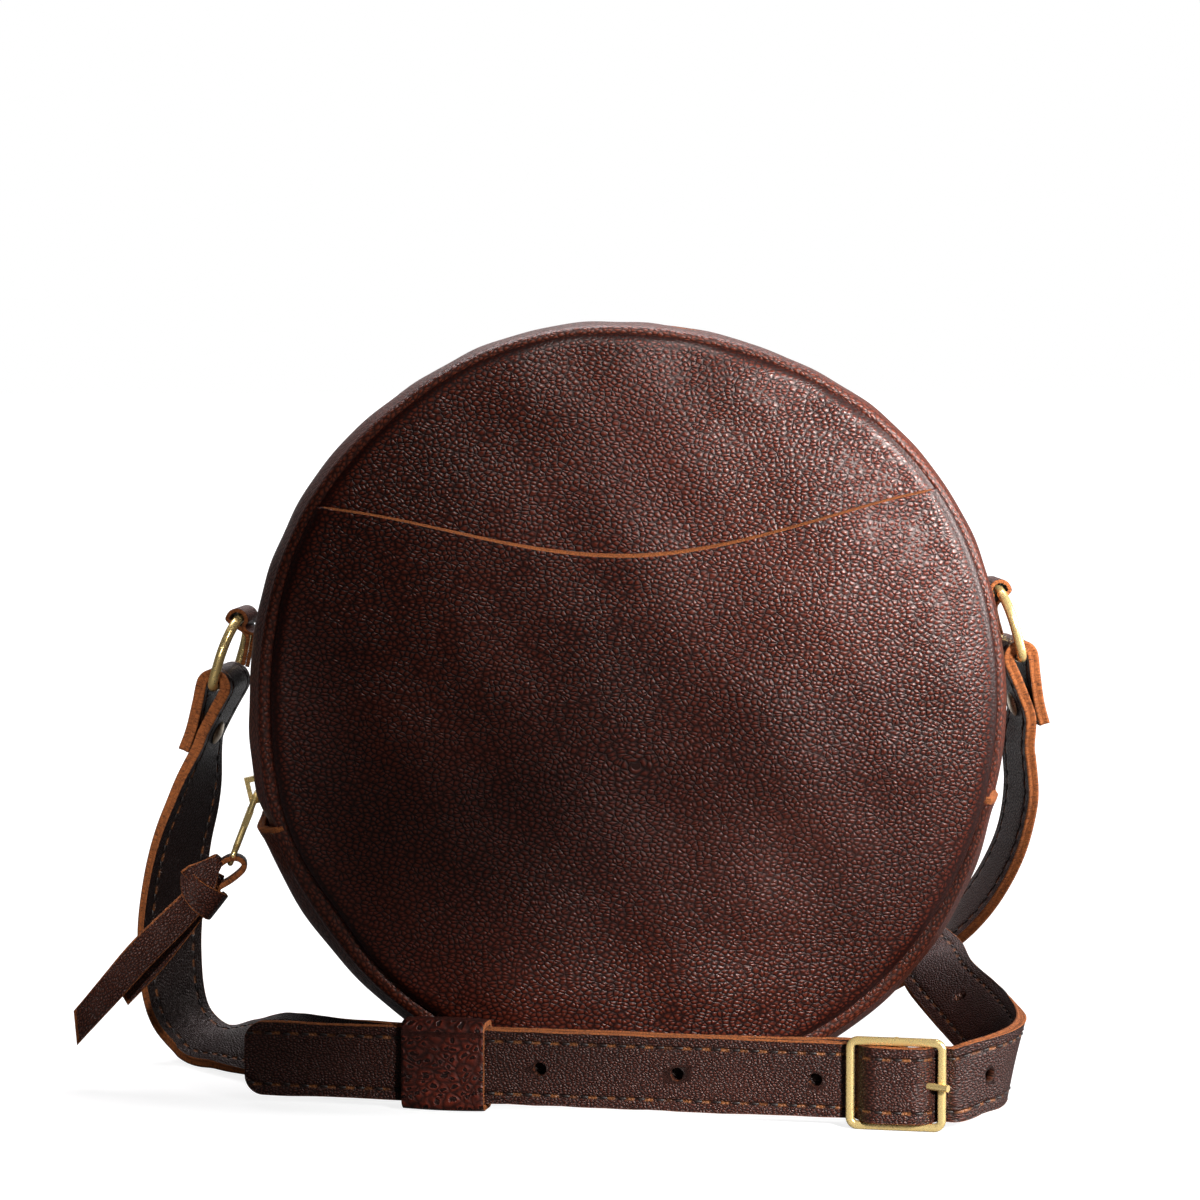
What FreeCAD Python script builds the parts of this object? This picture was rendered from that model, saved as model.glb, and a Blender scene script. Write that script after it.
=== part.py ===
import FreeCAD, Part
import math
import os
from FreeCAD import Vector

# Round leather bag standing on its edge, millimetres.
# X runs to the right seen from the front, Y away from the viewer, Z up.
# The origin is on the floor under the middle of the bag.
# Angles on the bag are seen from the front, counter-clockwise from +X.

# Bag body
bag_radius = 99.0            # crown of the zip gusset
roll_radius = 5.0            # gusset's rolled edges, from the crown down to the seams
seam_spacing = 54.0          # front seam to back seam
panel_leather = 2.0
gusset_leather = 2.0
panel_crown = 7.5            # how far each panel swells past its seam
seam_allowance = 7.0         # gusset edge turned in behind the panel
base_press = 1.0             # how far the floor presses the lower gusset flat
layer_gap = 0.1              # between sewn layers
rim_gap = 0.2                # lower gusset to the panels' rims

# Front pocket
pocket_leather = 1.6
pocket_edge_height = 57.2    # raw top edge above the bag's centre, at the sides
pocket_edge_dip = 14.7       # lower in the middle
pocket_edge_slope = 0.028    # the bag stands a little turned

# Zip
zip_left_end = 197.5         # raw ends of the lower gusset
zip_right_end = -13.5
zip_overlap = 6.5            # degrees of zip gusset under the lower gusset
zip_slot = 12.0              # between the two leather strips
tape_width = 13.0
tape_thickness = 0.6
chain_width = 6.0            # both rows together
chain_groove = 1.1           # between the rows
chain_thickness = 1.7
stop_span = 1.6              # degrees of chain that a stop takes up

# Slider
slider_clear = 4.5           # degrees from the slider's middle to the lower gusset's end
slider_width = 8.8
slider_length = 11.2
slider_plate = 1.6
slider_gap = 0.3             # plates to chain
slider_post = 0.8            # post that joins the plates, in the chain's groove
post_length = 3.5
bridge_opening = 2.2         # height under the bridge
bridge_bar = 1.2
bridge_width = 1.8
bridge_length = 7.2

# Pull
pull_wire = 0.75             # radius of the pull's wire
pull_neck_width = 4.8        # between the centres of the two legs
pull_neck_length = 5.2
pull_shoulder = 4.0
pull_thickness = 1.8
pull_rod_radius = 0.9
pull_rod_length = 6.4
pull_eye_radius = 2.4        # to the middle of the wire
pull_lean = 21.0             # degrees outward from hanging straight down
pull_seat = 1.2              # crossbar from the slider's middle, towards its lower end

# Lace
lace_lean = 44.5             # degrees outward from hanging straight down
lace_strand = 1.0            # radius where it passes the eye
lace_loop_radius = 3.4
lace_loop_offset = 1.2
knot_distance = 9.5
knot_size = (11.0, 9.0, 13.0)
knot_round = 3.0
tail_width = 7.2
tail_thickness = 1.6
tail_start = 12.0
tail_long = 63.0
tail_short = 47.0
tail_slant = 6.5             # slanted cut at each end
tail_depths = (-4.6, -1.2)   # of the long and the short tail, along Y
tail_spread = 5.0            # degrees between the tails

# Rings and their tabs
ring_inner = 20.0
ring_wire = 1.3              # radius
ring_leg = 7.5               # straight part between bar and arc
ring_corner = 2.5
ring_depth = 19.0            # from the bag's middle plane, along Y
ring_turns = (15.0, 8.0)     # each ring is turned so its strap faces the front a little
ring_angles = (168.2, 15.8)  # left, right
ring_leans = (17.5, 15.0)    # degrees outward from hanging straight down
tab_leather = 1.1
tab_width = 10.0
tab_play = 0.75              # ring wire to the tab's loop
tab_tail = 12.5

# Strap
strap_width = 19.0
strap_thickness = 3.0
strap_fold_gap = 0.5         # ring bar to the folded strap
floor_gap = 1.2              # strap edges and curl above the floor
flap_length = 19.0           # turned-back end below the ring's bar
rivet_drop = 13.0            # rivet below the ring's bar
rivet_shank = 1.2
rivet_cap = 3.3
rivet_cap_height = 1.1
rivet_gap = 0.45             # caps above the leather, shank in its hole
hole_radius = 1.7
hole_stations = (78.0, 113.6, 149.2, 198.3, 265.0)   # along the billet from its tip

# Buckle and front run of the strap
run_angle = 14.5             # the run's right end comes nearer
buckle_inset = 34.4          # buckle's middle in from the bag's right side
buckle_stand_off = 43.5      # buckle in front of the front seam
buckle_length = 25.4
buckle_play = 0.2            # strap's edges to the frame
buckle_wire = 2.1
buckle_corner = 2.4
centre_bar = 1.1             # radius
centre_bar_setback = 2.2     # behind the side bars
bar_fold_gap = 0.2
turn_back = 30.0             # strap end behind the strap, from the centre bar
# Rises inside the frame: distance in from a side bar's inner edge, share of the rise
billet_rise = ((0.6, 0.01), (2.0, 0.275), (3.2, 0.66), (5.1, 0.93), (7.6, 0.99))
strap_rise = ((-1.9, -0.04), (1.8, 0.03), (5.7, 0.60))
# Strap where it joins the billet: distance past the keeper's left end, gap behind the run
strap_join = ((-4.0, 0.6), (0.0, 0.12), (4.0, 0.0), (8.0, 0.0))
prong_radius = 0.9
prong_width = 2.6
prong_gap = 0.05             # running fit on the centre bar
prong_slot_gap = 0.45
prong_lift = 10.0            # degrees that the billet's hole allows
tip_overhang = 1.0           # billet's tip past the bag's left side
tip_corner = 4.0
keeper_inset = 50.3          # keeper's middle in from the bag's left side
keeper_length = 21.6
keeper_wall = 1.8
keeper_gap = 0.3

# Values that follow from the sizes above
half_spacing = seam_spacing / 2
seam_radius = bag_radius - roll_radius
lower_radius = bag_radius + layer_gap + gusset_leather
centre_height = lower_radius - base_press
centre = Vector(0, 0, centre_height)
spin_axis = Vector(0, -1, 0)
tape_outer = bag_radius - gusset_leather - layer_gap
chain_outer = tape_outer + (chain_thickness - tape_thickness) / 2
chain_inner = chain_outer - chain_thickness
chain_half = chain_width / 2
half_strap = strap_width / 2
half_thick = strap_thickness / 2
ply_gap = layer_gap / 2
up = Vector(0, 0, 1)
run_along = Vector(math.cos(math.radians(run_angle)), -math.sin(math.radians(run_angle)), 0)
run_front = up.cross(run_along) * -1
buckle_height = strap_width + 2 * (buckle_wire + buckle_play)
run_height = buckle_height / 2 + layer_gap
buckle_x = bag_radius - buckle_inset
run_reach = (buckle_x + bag_radius) / run_along.x
billet_tip = run_reach + tip_overhang / run_along.x
keeper_place = run_reach - keeper_inset / run_along.x
slider_angle = zip_left_end - slider_clear
buckle_centre = Vector(buckle_x, -(half_spacing + buckle_stand_off), run_height)


def polar(radius, angle, y):
    a = math.radians(angle)
    return Vector(radius * math.cos(a), y, centre_height + radius * math.sin(a))


def profile_point(radius, y):
    return Vector(radius, y, centre_height)


def line(a, b):
    return Part.LineSegment(a, b).toShape()


def arc(a, middle, b):
    return Part.Arc(a, middle, b).toShape()


def spun(edges, start=0.0, sweep=360.0):
    face = Part.Face(Part.Wire(edges))
    face.rotate(centre, spin_axis, start)
    return face.revolve(centre, spin_axis, sweep)


def closed_polygon(points):
    return Part.Face(Part.makePolygon(points + points[:1]))


def band(inner, outer, low_y, high_y, start, sweep):
    corners = [profile_point(inner, low_y), profile_point(outer, low_y)]
    corners += [profile_point(outer, high_y), profile_point(inner, high_y)]
    edges = [line(a, b) for a, b in zip(corners, corners[1:] + corners[:1])]
    return spun(edges, start, sweep)


def on_bag(shape, angle):
    shape.translate(centre)
    shape.rotate(centre, spin_axis, angle)
    return shape


def joined(shapes):
    return shapes[0].multiFuse(shapes[1:]).removeSplitter()


# Panels: a shallow dome of even thickness inside the seam circle
def dome_arc(rim_y, side):
    ball = (seam_radius ** 2 + panel_crown ** 2) / (2 * panel_crown)
    middle = seam_radius / 2
    rise = panel_crown - ball + math.sqrt(ball ** 2 - middle ** 2)
    apex = profile_point(0, rim_y + side * panel_crown)
    return apex, profile_point(middle, rim_y + side * rise), profile_point(seam_radius, rim_y)


def panel(side, offset, thickness):
    inner = dome_arc(side * (half_spacing + offset), side)
    outer = dome_arc(side * (half_spacing + offset + thickness), side)
    edges = [arc(*inner), line(inner[2], outer[2]), arc(*reversed(outer)), line(outer[0], inner[0])]
    return spun(edges)


def pocket():
    shell = panel(-1, 2 * layer_gap + panel_leather, pocket_leather)
    steps = 12
    reach = seam_radius
    edge = []
    for i in range(steps + 1):
        x = reach * (2 * i / steps - 1)
        dip = pocket_edge_dip * (1 + math.cos(math.pi * x / reach)) / 2
        edge.append(Vector(x, 0, centre_height + pocket_edge_height + pocket_edge_slope * x - dip))
    curve = Part.BSplineCurve()
    curve.interpolate(edge)
    low_right = Vector(reach, 0, 0)
    low_left = Vector(-reach, 0, 0)
    sides = [line(edge[-1], low_right), line(low_right, low_left), line(low_left, edge[0])]
    front = Part.Face(Part.Wire([curve.toShape()] + sides))
    front.translate(Vector(0, -seam_spacing, 0))
    return shell.common(front.extrude(Vector(0, seam_spacing, 0)))


# Gussets: rolled edges that rise out of the seams to a flat crown
def roll_point(side, radius, share):
    a = math.radians(90 * share)
    y = side * (half_spacing - roll_radius + radius * math.cos(a))
    return profile_point(seam_radius + radius * math.sin(a), y)


def zip_gusset(side):
    inner_roll = roll_radius - gusset_leather
    edge_y = side * zip_slot / 2
    turned = seam_radius - seam_allowance
    outer = [roll_point(side, roll_radius, share) for share in (0, 0.5, 1)]
    inner = [roll_point(side, inner_roll, share) for share in (0, 0.5, 1)]
    a = profile_point(turned, outer[0].y)
    b = profile_point(bag_radius, edge_y)
    c = profile_point(bag_radius - gusset_leather, edge_y)
    d = profile_point(turned, inner[0].y)
    edges = [line(a, outer[0]), arc(*outer), line(outer[2], b), line(b, c)]
    edges += [line(c, inner[2]), arc(*reversed(inner)), line(inner[0], d), line(d, a)]
    sweep = zip_left_end - zip_right_end + 2 * zip_overlap
    return spun(edges, zip_right_end - zip_overlap, sweep)


def lower_gusset():
    outer_roll = roll_radius + layer_gap + gusset_leather
    inner_roll = roll_radius + layer_gap
    outer_start = math.asin(rim_gap / outer_roll) / (math.pi / 2)
    inner_start = math.asin(rim_gap / inner_roll) / (math.pi / 2)
    outer_front = [roll_point(-1, outer_roll, s) for s in (outer_start, 0.5, 1)]
    outer_rear = [roll_point(1, outer_roll, s) for s in (1, 0.5, outer_start)]
    inner_rear = [roll_point(1, inner_roll, s) for s in (inner_start, 0.5, 1)]
    inner_front = [roll_point(-1, inner_roll, s) for s in (1, 0.5, inner_start)]
    edges = [arc(*outer_front), line(outer_front[2], outer_rear[0]), arc(*outer_rear)]
    edges += [line(outer_rear[2], inner_rear[0]), arc(*inner_rear)]
    edges += [line(inner_rear[2], inner_front[0]), arc(*inner_front)]
    edges += [line(inner_front[2], outer_front[0])]
    shell = spun(edges, zip_left_end, 360 - zip_left_end + zip_right_end)
    floor = Part.makeBox(4 * bag_radius, 4 * seam_spacing, bag_radius)
    floor.translate(Vector(-2 * bag_radius, -2 * seam_spacing, -bag_radius))
    return shell.cut(floor)


# Zip: tapes under the leather, two rows between them
def zip_rows():
    start = zip_right_end - zip_overlap
    sweep = zip_left_end - zip_right_end + 2 * zip_overlap
    rows = {}
    for name, side in (("front", -1), ("rear", 1)):
        near = side * (chain_half + layer_gap)
        far = side * (chain_half + layer_gap + tape_width)
        low, high = sorted((near, far))
        rows["zip_tape_" + name] = band(tape_outer - tape_thickness, tape_outer, low, high, start, sweep)
        low, high = sorted((side * chain_groove / 2, side * chain_half))
        chain_start = start + 2 * stop_span
        chain_sweep = sweep - 4 * stop_span
        rows["zip_chain_" + name] = band(chain_inner, chain_outer, low, high, chain_start, chain_sweep)
    stop_gap = stop_span / 8
    stop_starts = (start + stop_span - stop_gap, start + sweep - 2 * stop_span + stop_gap)
    stops = [band(chain_inner, chain_outer, -chain_half, chain_half, a, stop_span) for a in stop_starts]
    rows["zip_stops"] = Part.makeCompound(stops)
    return rows


# Slider: X is outward from the bag, Z along the zip towards its left end
top_plate_low = chain_outer + slider_gap
bridge_low = top_plate_low + slider_plate
crossbar_radius = bridge_low + bridge_opening / 2


def plate(low):
    shape = Part.makeBox(slider_plate, slider_width, slider_length)
    shape.translate(Vector(low, -slider_width / 2, -slider_length / 2))
    corners = [e for e in shape.Edges if abs(e.tangentAt(e.FirstParameter).x) > 0.9]
    return shape.makeFillet(slider_width / 4, corners)


def slider():
    lower_low = chain_inner - slider_gap - chain_groove / 4 - slider_plate
    post = Part.makeBox(bridge_low - lower_low, slider_post, post_length)
    post.translate(Vector(lower_low, -slider_post / 2, -post_length / 2))
    arch_height = bridge_opening + bridge_bar
    arch = Part.makeBox(arch_height, bridge_width, bridge_length)
    arch.translate(Vector(bridge_low, -bridge_width / 2, -bridge_length / 2))
    foot = bridge_length / 5
    window = Part.makeBox(bridge_opening, bridge_width, bridge_length - 2 * foot)
    window.translate(Vector(bridge_low, -bridge_width / 2, foot - bridge_length / 2))
    body = joined([plate(top_plate_low), plate(lower_low), post, arch.cut(window)])
    return on_bag(body, slider_angle)


# Pull: modelled hanging down from its crossbar, then leaned out
crossbar = polar(crossbar_radius, slider_angle, 0)
crossbar = crossbar + (polar(1, slider_angle + 90, 0) - centre) * pull_seat
eye_drop = pull_neck_length + pull_shoulder + pull_rod_length + pull_eye_radius - pull_wire
lean_axis = Vector(0, 1, 0)


def leaned(vector, degrees):
    return FreeCAD.Rotation(lean_axis, degrees).multVec(vector)


eye_bar = crossbar + leaned(Vector(0, 0, -(eye_drop + pull_eye_radius)), pull_lean)


def pull():
    half_neck = pull_neck_width / 2
    bar = Part.makeCylinder(pull_wire, pull_neck_width, Vector(0, -half_neck, 0), lean_axis)
    pieces = [bar]
    for y in (-half_neck, half_neck):
        pieces.append(Part.makeSphere(pull_wire, Vector(0, y, 0)))
        pieces.append(Part.makeCylinder(pull_wire, pull_neck_length, Vector(0, y, 0), up * -1))
    wide = half_neck + pull_wire
    top = -pull_neck_length + pull_wire
    low = -pull_neck_length - pull_shoulder
    outline = [(-wide, top), (wide, top), (pull_rod_radius, low), (-pull_rod_radius, low)]
    face = closed_polygon([Vector(-pull_thickness / 2, y, z) for y, z in outline])
    pieces.append(face.extrude(Vector(pull_thickness, 0, 0)))
    rod_top = Vector(0, 0, low + pull_wire)
    pieces.append(Part.makeCylinder(pull_rod_radius, pull_rod_length + pull_wire, rod_top, up * -1))
    pieces.append(Part.makeTorus(pull_eye_radius, pull_wire, Vector(0, 0, -eye_drop), Vector(1, 0, 0)))
    shape = joined(pieces)
    shape.rotate(Vector(0, 0, 0), lean_axis, pull_lean)
    shape.translate(crossbar)
    return shape


# Lace: loop through the eye, knot and two flat tails, modelled hanging down
def lace_tail(length, depth, turn):
    half = tail_width / 2
    outline = [(-half, -tail_start), (half, -tail_start), (half, -length), (-half, -length + tail_slant)]
    face = closed_polygon([Vector(x, depth, z) for x, z in outline])
    shape = face.extrude(Vector(0, tail_thickness, 0))
    shape.rotate(Vector(0, 0, -knot_distance), lean_axis, -turn)
    return shape


def lace():
    loop_centre = Vector(0, 0, -lace_loop_offset)
    loop = Part.makeTorus(lace_loop_radius, lace_strand, loop_centre, lean_axis)
    knot = Part.makeBox(*knot_size)
    knot.translate(Vector(-knot_size[0] / 2, -knot_size[1] / 2, -knot_distance - knot_size[2] / 2))
    knot.translate(Vector(0, -knot_size[1] / 4, 0))
    knot = knot.makeFillet(knot_round, knot.Edges)
    tails = [lace_tail(tail_long, tail_depths[0], 0), lace_tail(tail_short, tail_depths[1], tail_spread)]
    shape = joined([loop, knot] + tails)
    shape.rotate(Vector(0, 0, 0), lean_axis, lace_lean)
    shape.translate(eye_bar)
    return shape


# Rings: straight bar in the strap's fold, arc in the tab's loop
half_ring = ring_inner / 2 + ring_wire
ring_height = ring_leg + half_ring
tab_hole = ring_wire + tab_play
tab_outer = tab_hole + tab_leather


class RingPlace:
    def __init__(self, side, angle, turn, lean):
        turn = math.radians(turn)
        self.side = side
        self.along = Vector(-side * math.sin(turn), math.cos(turn), 0)
        self.seat = polar(bag_radius + layer_gap, angle, ring_depth)
        self.out = (self.seat - Vector(0, ring_depth, centre_height)).normalize()
        self.top = self.seat + self.out * (tab_outer + tab_width / 2 * math.sin(turn))
        hang = Vector(side * math.sin(math.radians(lean)), 0, -math.cos(math.radians(lean)))
        hang = hang - self.along * hang.dot(self.along)
        self.rise = hang.normalize() * -1
        self.bar = self.top - self.rise * ring_height

    def place(self, u, v):
        return self.bar + self.along * u + self.rise * v


ring_left = RingPlace(-1, ring_angles[0], ring_turns[0], ring_leans[0])
ring_right = RingPlace(1, ring_angles[1], ring_turns[1], ring_leans[1])


def ring(place):
    inset = half_ring - ring_corner
    bend = ring_corner * (1 - math.sqrt(0.5))
    p = place.place
    path = [line(p(-inset, 0), p(inset, 0))]
    path.append(arc(p(inset, 0), p(half_ring - bend, bend), p(half_ring, ring_corner)))
    path.append(line(p(half_ring, ring_corner), p(half_ring, ring_leg)))
    path.append(arc(p(half_ring, ring_leg), p(0, ring_height), p(-half_ring, ring_leg)))
    path.append(line(p(-half_ring, ring_leg), p(-half_ring, ring_corner)))
    path.append(arc(p(-half_ring, ring_corner), p(bend - half_ring, bend), p(-inset, 0)))
    section = Part.Wire(Part.makeCircle(ring_wire, p(0, 0), place.along))
    halves = path[0].split(path[0].FirstParameter + inset).Edges
    spine = Part.Wire([halves[1]] + path[1:] + [halves[0]])
    return spine.makePipeShell([section], True, False)


def ring_tab(place):
    across = place.along * tab_width
    sag = (half_ring - math.sqrt(half_ring ** 2 - (tab_width / 2) ** 2)) / 2
    middle = place.top - place.rise * sag - across * 0.5
    loop = Part.makeCylinder(tab_outer, tab_width, middle, place.along)
    bore = Part.makeCylinder(tab_hole, 2 * tab_width, middle - across * 0.5, place.along)
    depth = Vector(0, tab_width, 0)
    down = depth.cross(place.out).normalize() * (place.side * tab_tail)
    base = place.seat - depth * 0.5
    step = place.out * (2 * tab_leather)
    tail = closed_polygon([base, base + step, base + step + down, base + down]).extrude(depth)
    return joined([loop, tail]).cut(bore)


# Strap: flat ribbons of two leather layers through hand-chosen stations.
# A station is a point in the middle of the strap and the direction of its width.
def smooth(stations, steps):
    lengths = [(b[0] - a[0]).Length for a, b in zip(stations, stations[1:])]

    def slope(i, k):
        low = max(i - 1, 0)
        high = min(i + 1, len(lengths))
        return (stations[high][k] - stations[low][k]) * (1 / sum(lengths[low:high]))

    path = []
    for i, length in enumerate(lengths):
        for j in range(steps):
            t = j / steps
            keep = 2 * t ** 3 - 3 * t ** 2 + 1
            lead = (t ** 3 - 2 * t ** 2 + t) * length
            trail = (t ** 3 - t ** 2) * length
            path.append([stations[i][k] * keep + stations[i + 1][k] * (1 - keep)
                         + slope(i, k) * lead + slope(i + 1, k) * trail for k in (0, 1)])
    path.append(list(stations[-1]))
    return path


def frames(path):
    result = []
    last = len(path) - 1
    for i, (point, width) in enumerate(path):
        along = (path[min(i + 1, last)][0] - path[max(i - 1, 0)][0]).normalize()
        across = (width - along * width.dot(along)).normalize()
        result.append((point, along, across, along.cross(across)))
    return result


def ribbon(path, low, high, tip=0.0):
    wires = []
    end = path[-1][0]
    for point, along, across, face in frames(path):
        half = half_strap
        left = (end - point).Length
        if left < tip:
            half = half_strap - tip + math.sqrt(tip ** 2 - (tip - left) ** 2)
        ends = [(half, low), (half, high), (-half, high), (-half, low)]
        corners = [point + across * a + face * b for a, b in ends]
        wires.append(Part.makePolygon(corners + corners[:1]))
    return Part.makeLoft(wires, True, True)


def on_floor(x, y, width):
    across = Vector(*width).normalize()
    lean = math.sqrt(1 - across.z ** 2)
    return Vector(x, y, half_strap * across.z + half_thick * lean + floor_gap), across


def on_run(s, q):
    return buckle_centre + run_along * s + run_front * q, up


# Fold of a strap round a ring's bar: flap outside, strap on the bag's side
fold_radius = ring_wire + strap_fold_gap + half_thick
closed_offset = half_thick + layer_gap


class Fold:
    def __init__(self, place, drop):
        down = Vector(*drop)
        self.down = (down - place.along * down.dot(place.along)).normalize()
        self.inward = self.down.cross(place.along).normalize() * -place.side
        self.place = place

    def at(self, depth, offset):
        return self.place.bar + self.down * depth + self.inward * offset, self.place.along

    def stations(self):
        near = rivet_drop * 0.4
        near_offset = (fold_radius + closed_offset) / 2 + layer_gap
        flap = [self.at(flap_length, -closed_offset), self.at(rivet_drop, -closed_offset)]
        flap.append(self.at(near, -near_offset))
        arch = []
        for step in range(7):
            a = math.radians(180 - 30 * step)
            arch.append(self.at(-fold_radius * math.sin(a), fold_radius * math.cos(a)))
        strap = [self.at(rivet_drop, closed_offset), self.at(rivet_drop + rivet_cap, closed_offset)]
        return flap + arch + [self.at(near, near_offset)] + strap

    def rivet(self):
        middle = self.at(rivet_drop, 0)[0]
        reach = closed_offset + half_thick + rivet_gap
        shank = Part.makeCylinder(rivet_shank, 2 * reach, middle - self.inward * reach, self.inward)
        caps = []
        for way in (1, -1):
            cap = Part.makeCylinder(rivet_cap, rivet_cap_height, middle + self.inward * (way * reach),
                                    self.inward * way)
            caps.append(cap)
        return joined([shank] + caps)

    def rivet_hole(self):
        middle = self.at(rivet_drop, 0)[0]
        reach = 2 * strap_thickness
        return Part.makeCylinder(rivet_shank + rivet_gap, 2 * reach, middle - self.inward * reach, self.inward)


fold_left = Fold(ring_left, (-0.34, 0.12, -0.93))
fold_right = Fold(ring_right, (0.25, 0.13, -0.96))

# Levels across the run: the strap lies behind the middle plane and the billet in front
strap_level = -(half_thick + ply_gap)
billet_level = half_thick + ply_gap
frame_level = 2 * billet_level + buckle_wire / 2 + layer_gap
bar_level = frame_level - centre_bar_setback
wrap_radius = centre_bar + bar_fold_gap - ply_gap
wrap_outer = wrap_radius + half_thick
hump_level = bar_level + wrap_outer + layer_gap + half_thick
side_bar = (buckle_length - buckle_wire) / 2
bar_edge = side_bar - buckle_wire / 2


def left_drop():
    side = -bag_radius
    fall = ring_left.bar.z
    return [
        (Vector(side - 15.5, 23.0, 0.71 * fall), Vector(0.60, 0.80, 0)),
        (Vector(side - 19.8, 28.0, 0.555 * fall), Vector(0.74, 0.67, -0.05)),
        (Vector(side - 22.6, 33.5, 0.37 * fall), Vector(0.80, 0.60, -0.05)),
        (Vector(side - 22.6, 36.5, 0.215 * fall), Vector(0.76, 0.64, 0)),
        (Vector(side - 20.0, 36.5, 0.105 * fall), Vector(0.70, 0.70, 0.12)),
        on_floor(side - 13.5, 31.5, (0.56, 0.78, 0.24)),
        on_floor(side - 4.5, 18.0, (0.48, 0.70, 0.40)),
        on_floor(side + 4.5, 3.0, (0.48, 0.42, 0.66)),
        on_floor(side + 13.0, -12.0, (0.38, 0.22, 0.88)),
        (Vector(side + 24.0, -25.0, 0.93 * run_height), Vector(0.14, 0.08, 0.98)),
    ]


def strap_run():
    start = -keeper_place - keeper_length / 2
    joins = [on_run(start + past, strap_level - gap) for past, gap in strap_join]
    return joins + [on_run(-turn_back - keeper_length, strap_level), on_run(-turn_back, strap_level)]


def buckle_wrap():
    wrap = [on_run(-side_bar - 2 * buckle_wire, strap_level)]
    rise = bar_level + wrap_radius - strap_level
    wrap += [on_run(inset - bar_edge, strap_level + rise * share) for inset, share in strap_rise]
    for step in range(7):
        a = math.radians(90 - 30 * step)
        wrap.append(on_run(wrap_radius * math.cos(a), bar_level + wrap_radius * math.sin(a)))
    back = 2 * strap_level - ply_gap
    wrap.append(on_run(-side_bar * 0.45, (bar_level - wrap_radius + back) / 2))
    return wrap + [on_run(-side_bar - buckle_wire / 2, back), on_run(-turn_back, back)]


def right_drop():
    side = bag_radius
    fall = ring_right.bar.z
    return [
        (Vector(side + 7.2, 22.5, 0.78 * fall), Vector(-0.20, 0.97, 0)),
        (Vector(side + 8.3, 26.5, 0.655 * fall), Vector(-0.22, 0.95, 0.10)),
        (Vector(side + 6.2, 32.5, 0.52 * fall), Vector(-0.12, 0.92, 0.30)),
        (Vector(side + 0.6, 41.5, 0.39 * fall), Vector(0.06, 0.84, 0.52)),
        (Vector(side - 7.5, 53.0, 0.275 * fall), Vector(0.30, 0.75, 0.55)),
        (Vector(side - 18.0, 70.0, 0.14 * fall), Vector(0.62, 0.68, 0.36)),
    ]


# Curl of the billet behind the bag, rising from the floor and back over itself
curl_radius = 23.0
curl_foot = Vector(bag_radius - 35.0, half_spacing + 66.0, half_thick + floor_gap)
curl_heading = Vector(-0.6, 0.8, 0)
curl_width = Vector(0.8, 0.6, 0)


def curl():
    stations = []
    for step in range(7):
        a = math.radians(30 * step)
        rise = up * (curl_radius * (1 - math.cos(a)))
        stations.append((curl_foot + curl_heading * (curl_radius * math.sin(a)) + rise, curl_width))
    return stations


def return_and_bend():
    side = bag_radius
    back = half_spacing
    front = buckle_centre.y
    return [
        (Vector(side - 37.5, back + 41.0, 44.0), Vector(0.80, 0.55, 0.10)),
        (Vector(side - 28.0, back + 19.0, 35.5), Vector(0.78, 0.50, 0.20)),
        (Vector(side - 17.5, back - 2.0, 28.8), Vector(0.80, 0.45, 0.32)),
        (Vector(side - 15.0, 7.0, 24.6), Vector(0.80, 0.38, 0.42)),
        (Vector(side - 10.0, -12.0, 20.3), Vector(0.74, 0.30, 0.56)),
        (Vector(side - 6.0, front + 38.5, 17.2), Vector(0.58, 0.18, 0.79)),
        (Vector(side - 4.0, front + 23.5, 15.6), Vector(0.36, 0.08, 0.93)),
        (Vector(side - 4.8, front + 12.5, 14.6), Vector(0.20, 0.02, 0.98)),
        (Vector(side - 9.0, front + 3.0, 13.9), Vector(0.08, 0, 1)),
        (Vector(side - 15.5, front - 3.0, 13.2), Vector(0.03, 0, 1)),
    ]


def billet_run():
    over = [(side_bar + 1.5 * buckle_wire, billet_level), (side_bar + buckle_wire / 2, billet_level)]
    rise = hump_level - billet_level
    over += [(bar_edge - inset, billet_level + rise * share) for inset, share in billet_rise]
    hump = [on_run(s, q) for s, q in over] + [on_run(0, hump_level)]
    hump += [on_run(-s, q) for s, q in reversed(over)]
    straight = [on_run(-s, billet_level) for s in (turn_back, keeper_place, billet_tip - 3 * tip_corner)]
    tip = [on_run(tip_corner * k - billet_tip, billet_level) for k in (1.1, 0.8, 0.5, 0.25, 0.1, 0.02)]
    return hump + straight + tip


prong_root = bar_level
prong_reach = side_bar + buckle_wire
prong_rest = frame_level + buckle_wire / 2 + 1.15 * (prong_radius + layer_gap)
prong_tip_level = prong_root + (prong_rest - prong_root) * prong_reach / bar_edge


def prong_shank(radius, start, lift=0.0):
    root, _ = on_run(0, prong_root)
    tip, _ = on_run(prong_reach, prong_tip_level)
    way = (tip - root).normalize()
    length = (tip - root).Length
    shank = Part.makeCylinder(radius, length - start, root + way * start, way)
    shank.rotate(root, up * -1, lift)
    return shank


prong_loop_inner = centre_bar + prong_gap
prong_loop_outer = prong_loop_inner + prong_radius


def prong():
    low = on_run(0, prong_root)[0] - up * (prong_width / 2)
    loop = Part.makeCylinder(prong_loop_outer, prong_width, low, up)
    bore = Part.makeCylinder(prong_loop_inner, prong_width, low, up)
    start = (prong_loop_inner + prong_loop_outer) / 2
    return joined([loop, prong_shank(prong_radius, start)]).cut(bore)


def prong_room():
    shanks = [prong_shank(prong_radius + prong_slot_gap, 0, prong_lift * k / 4) for k in range(5)]
    return joined(shanks)


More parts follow.
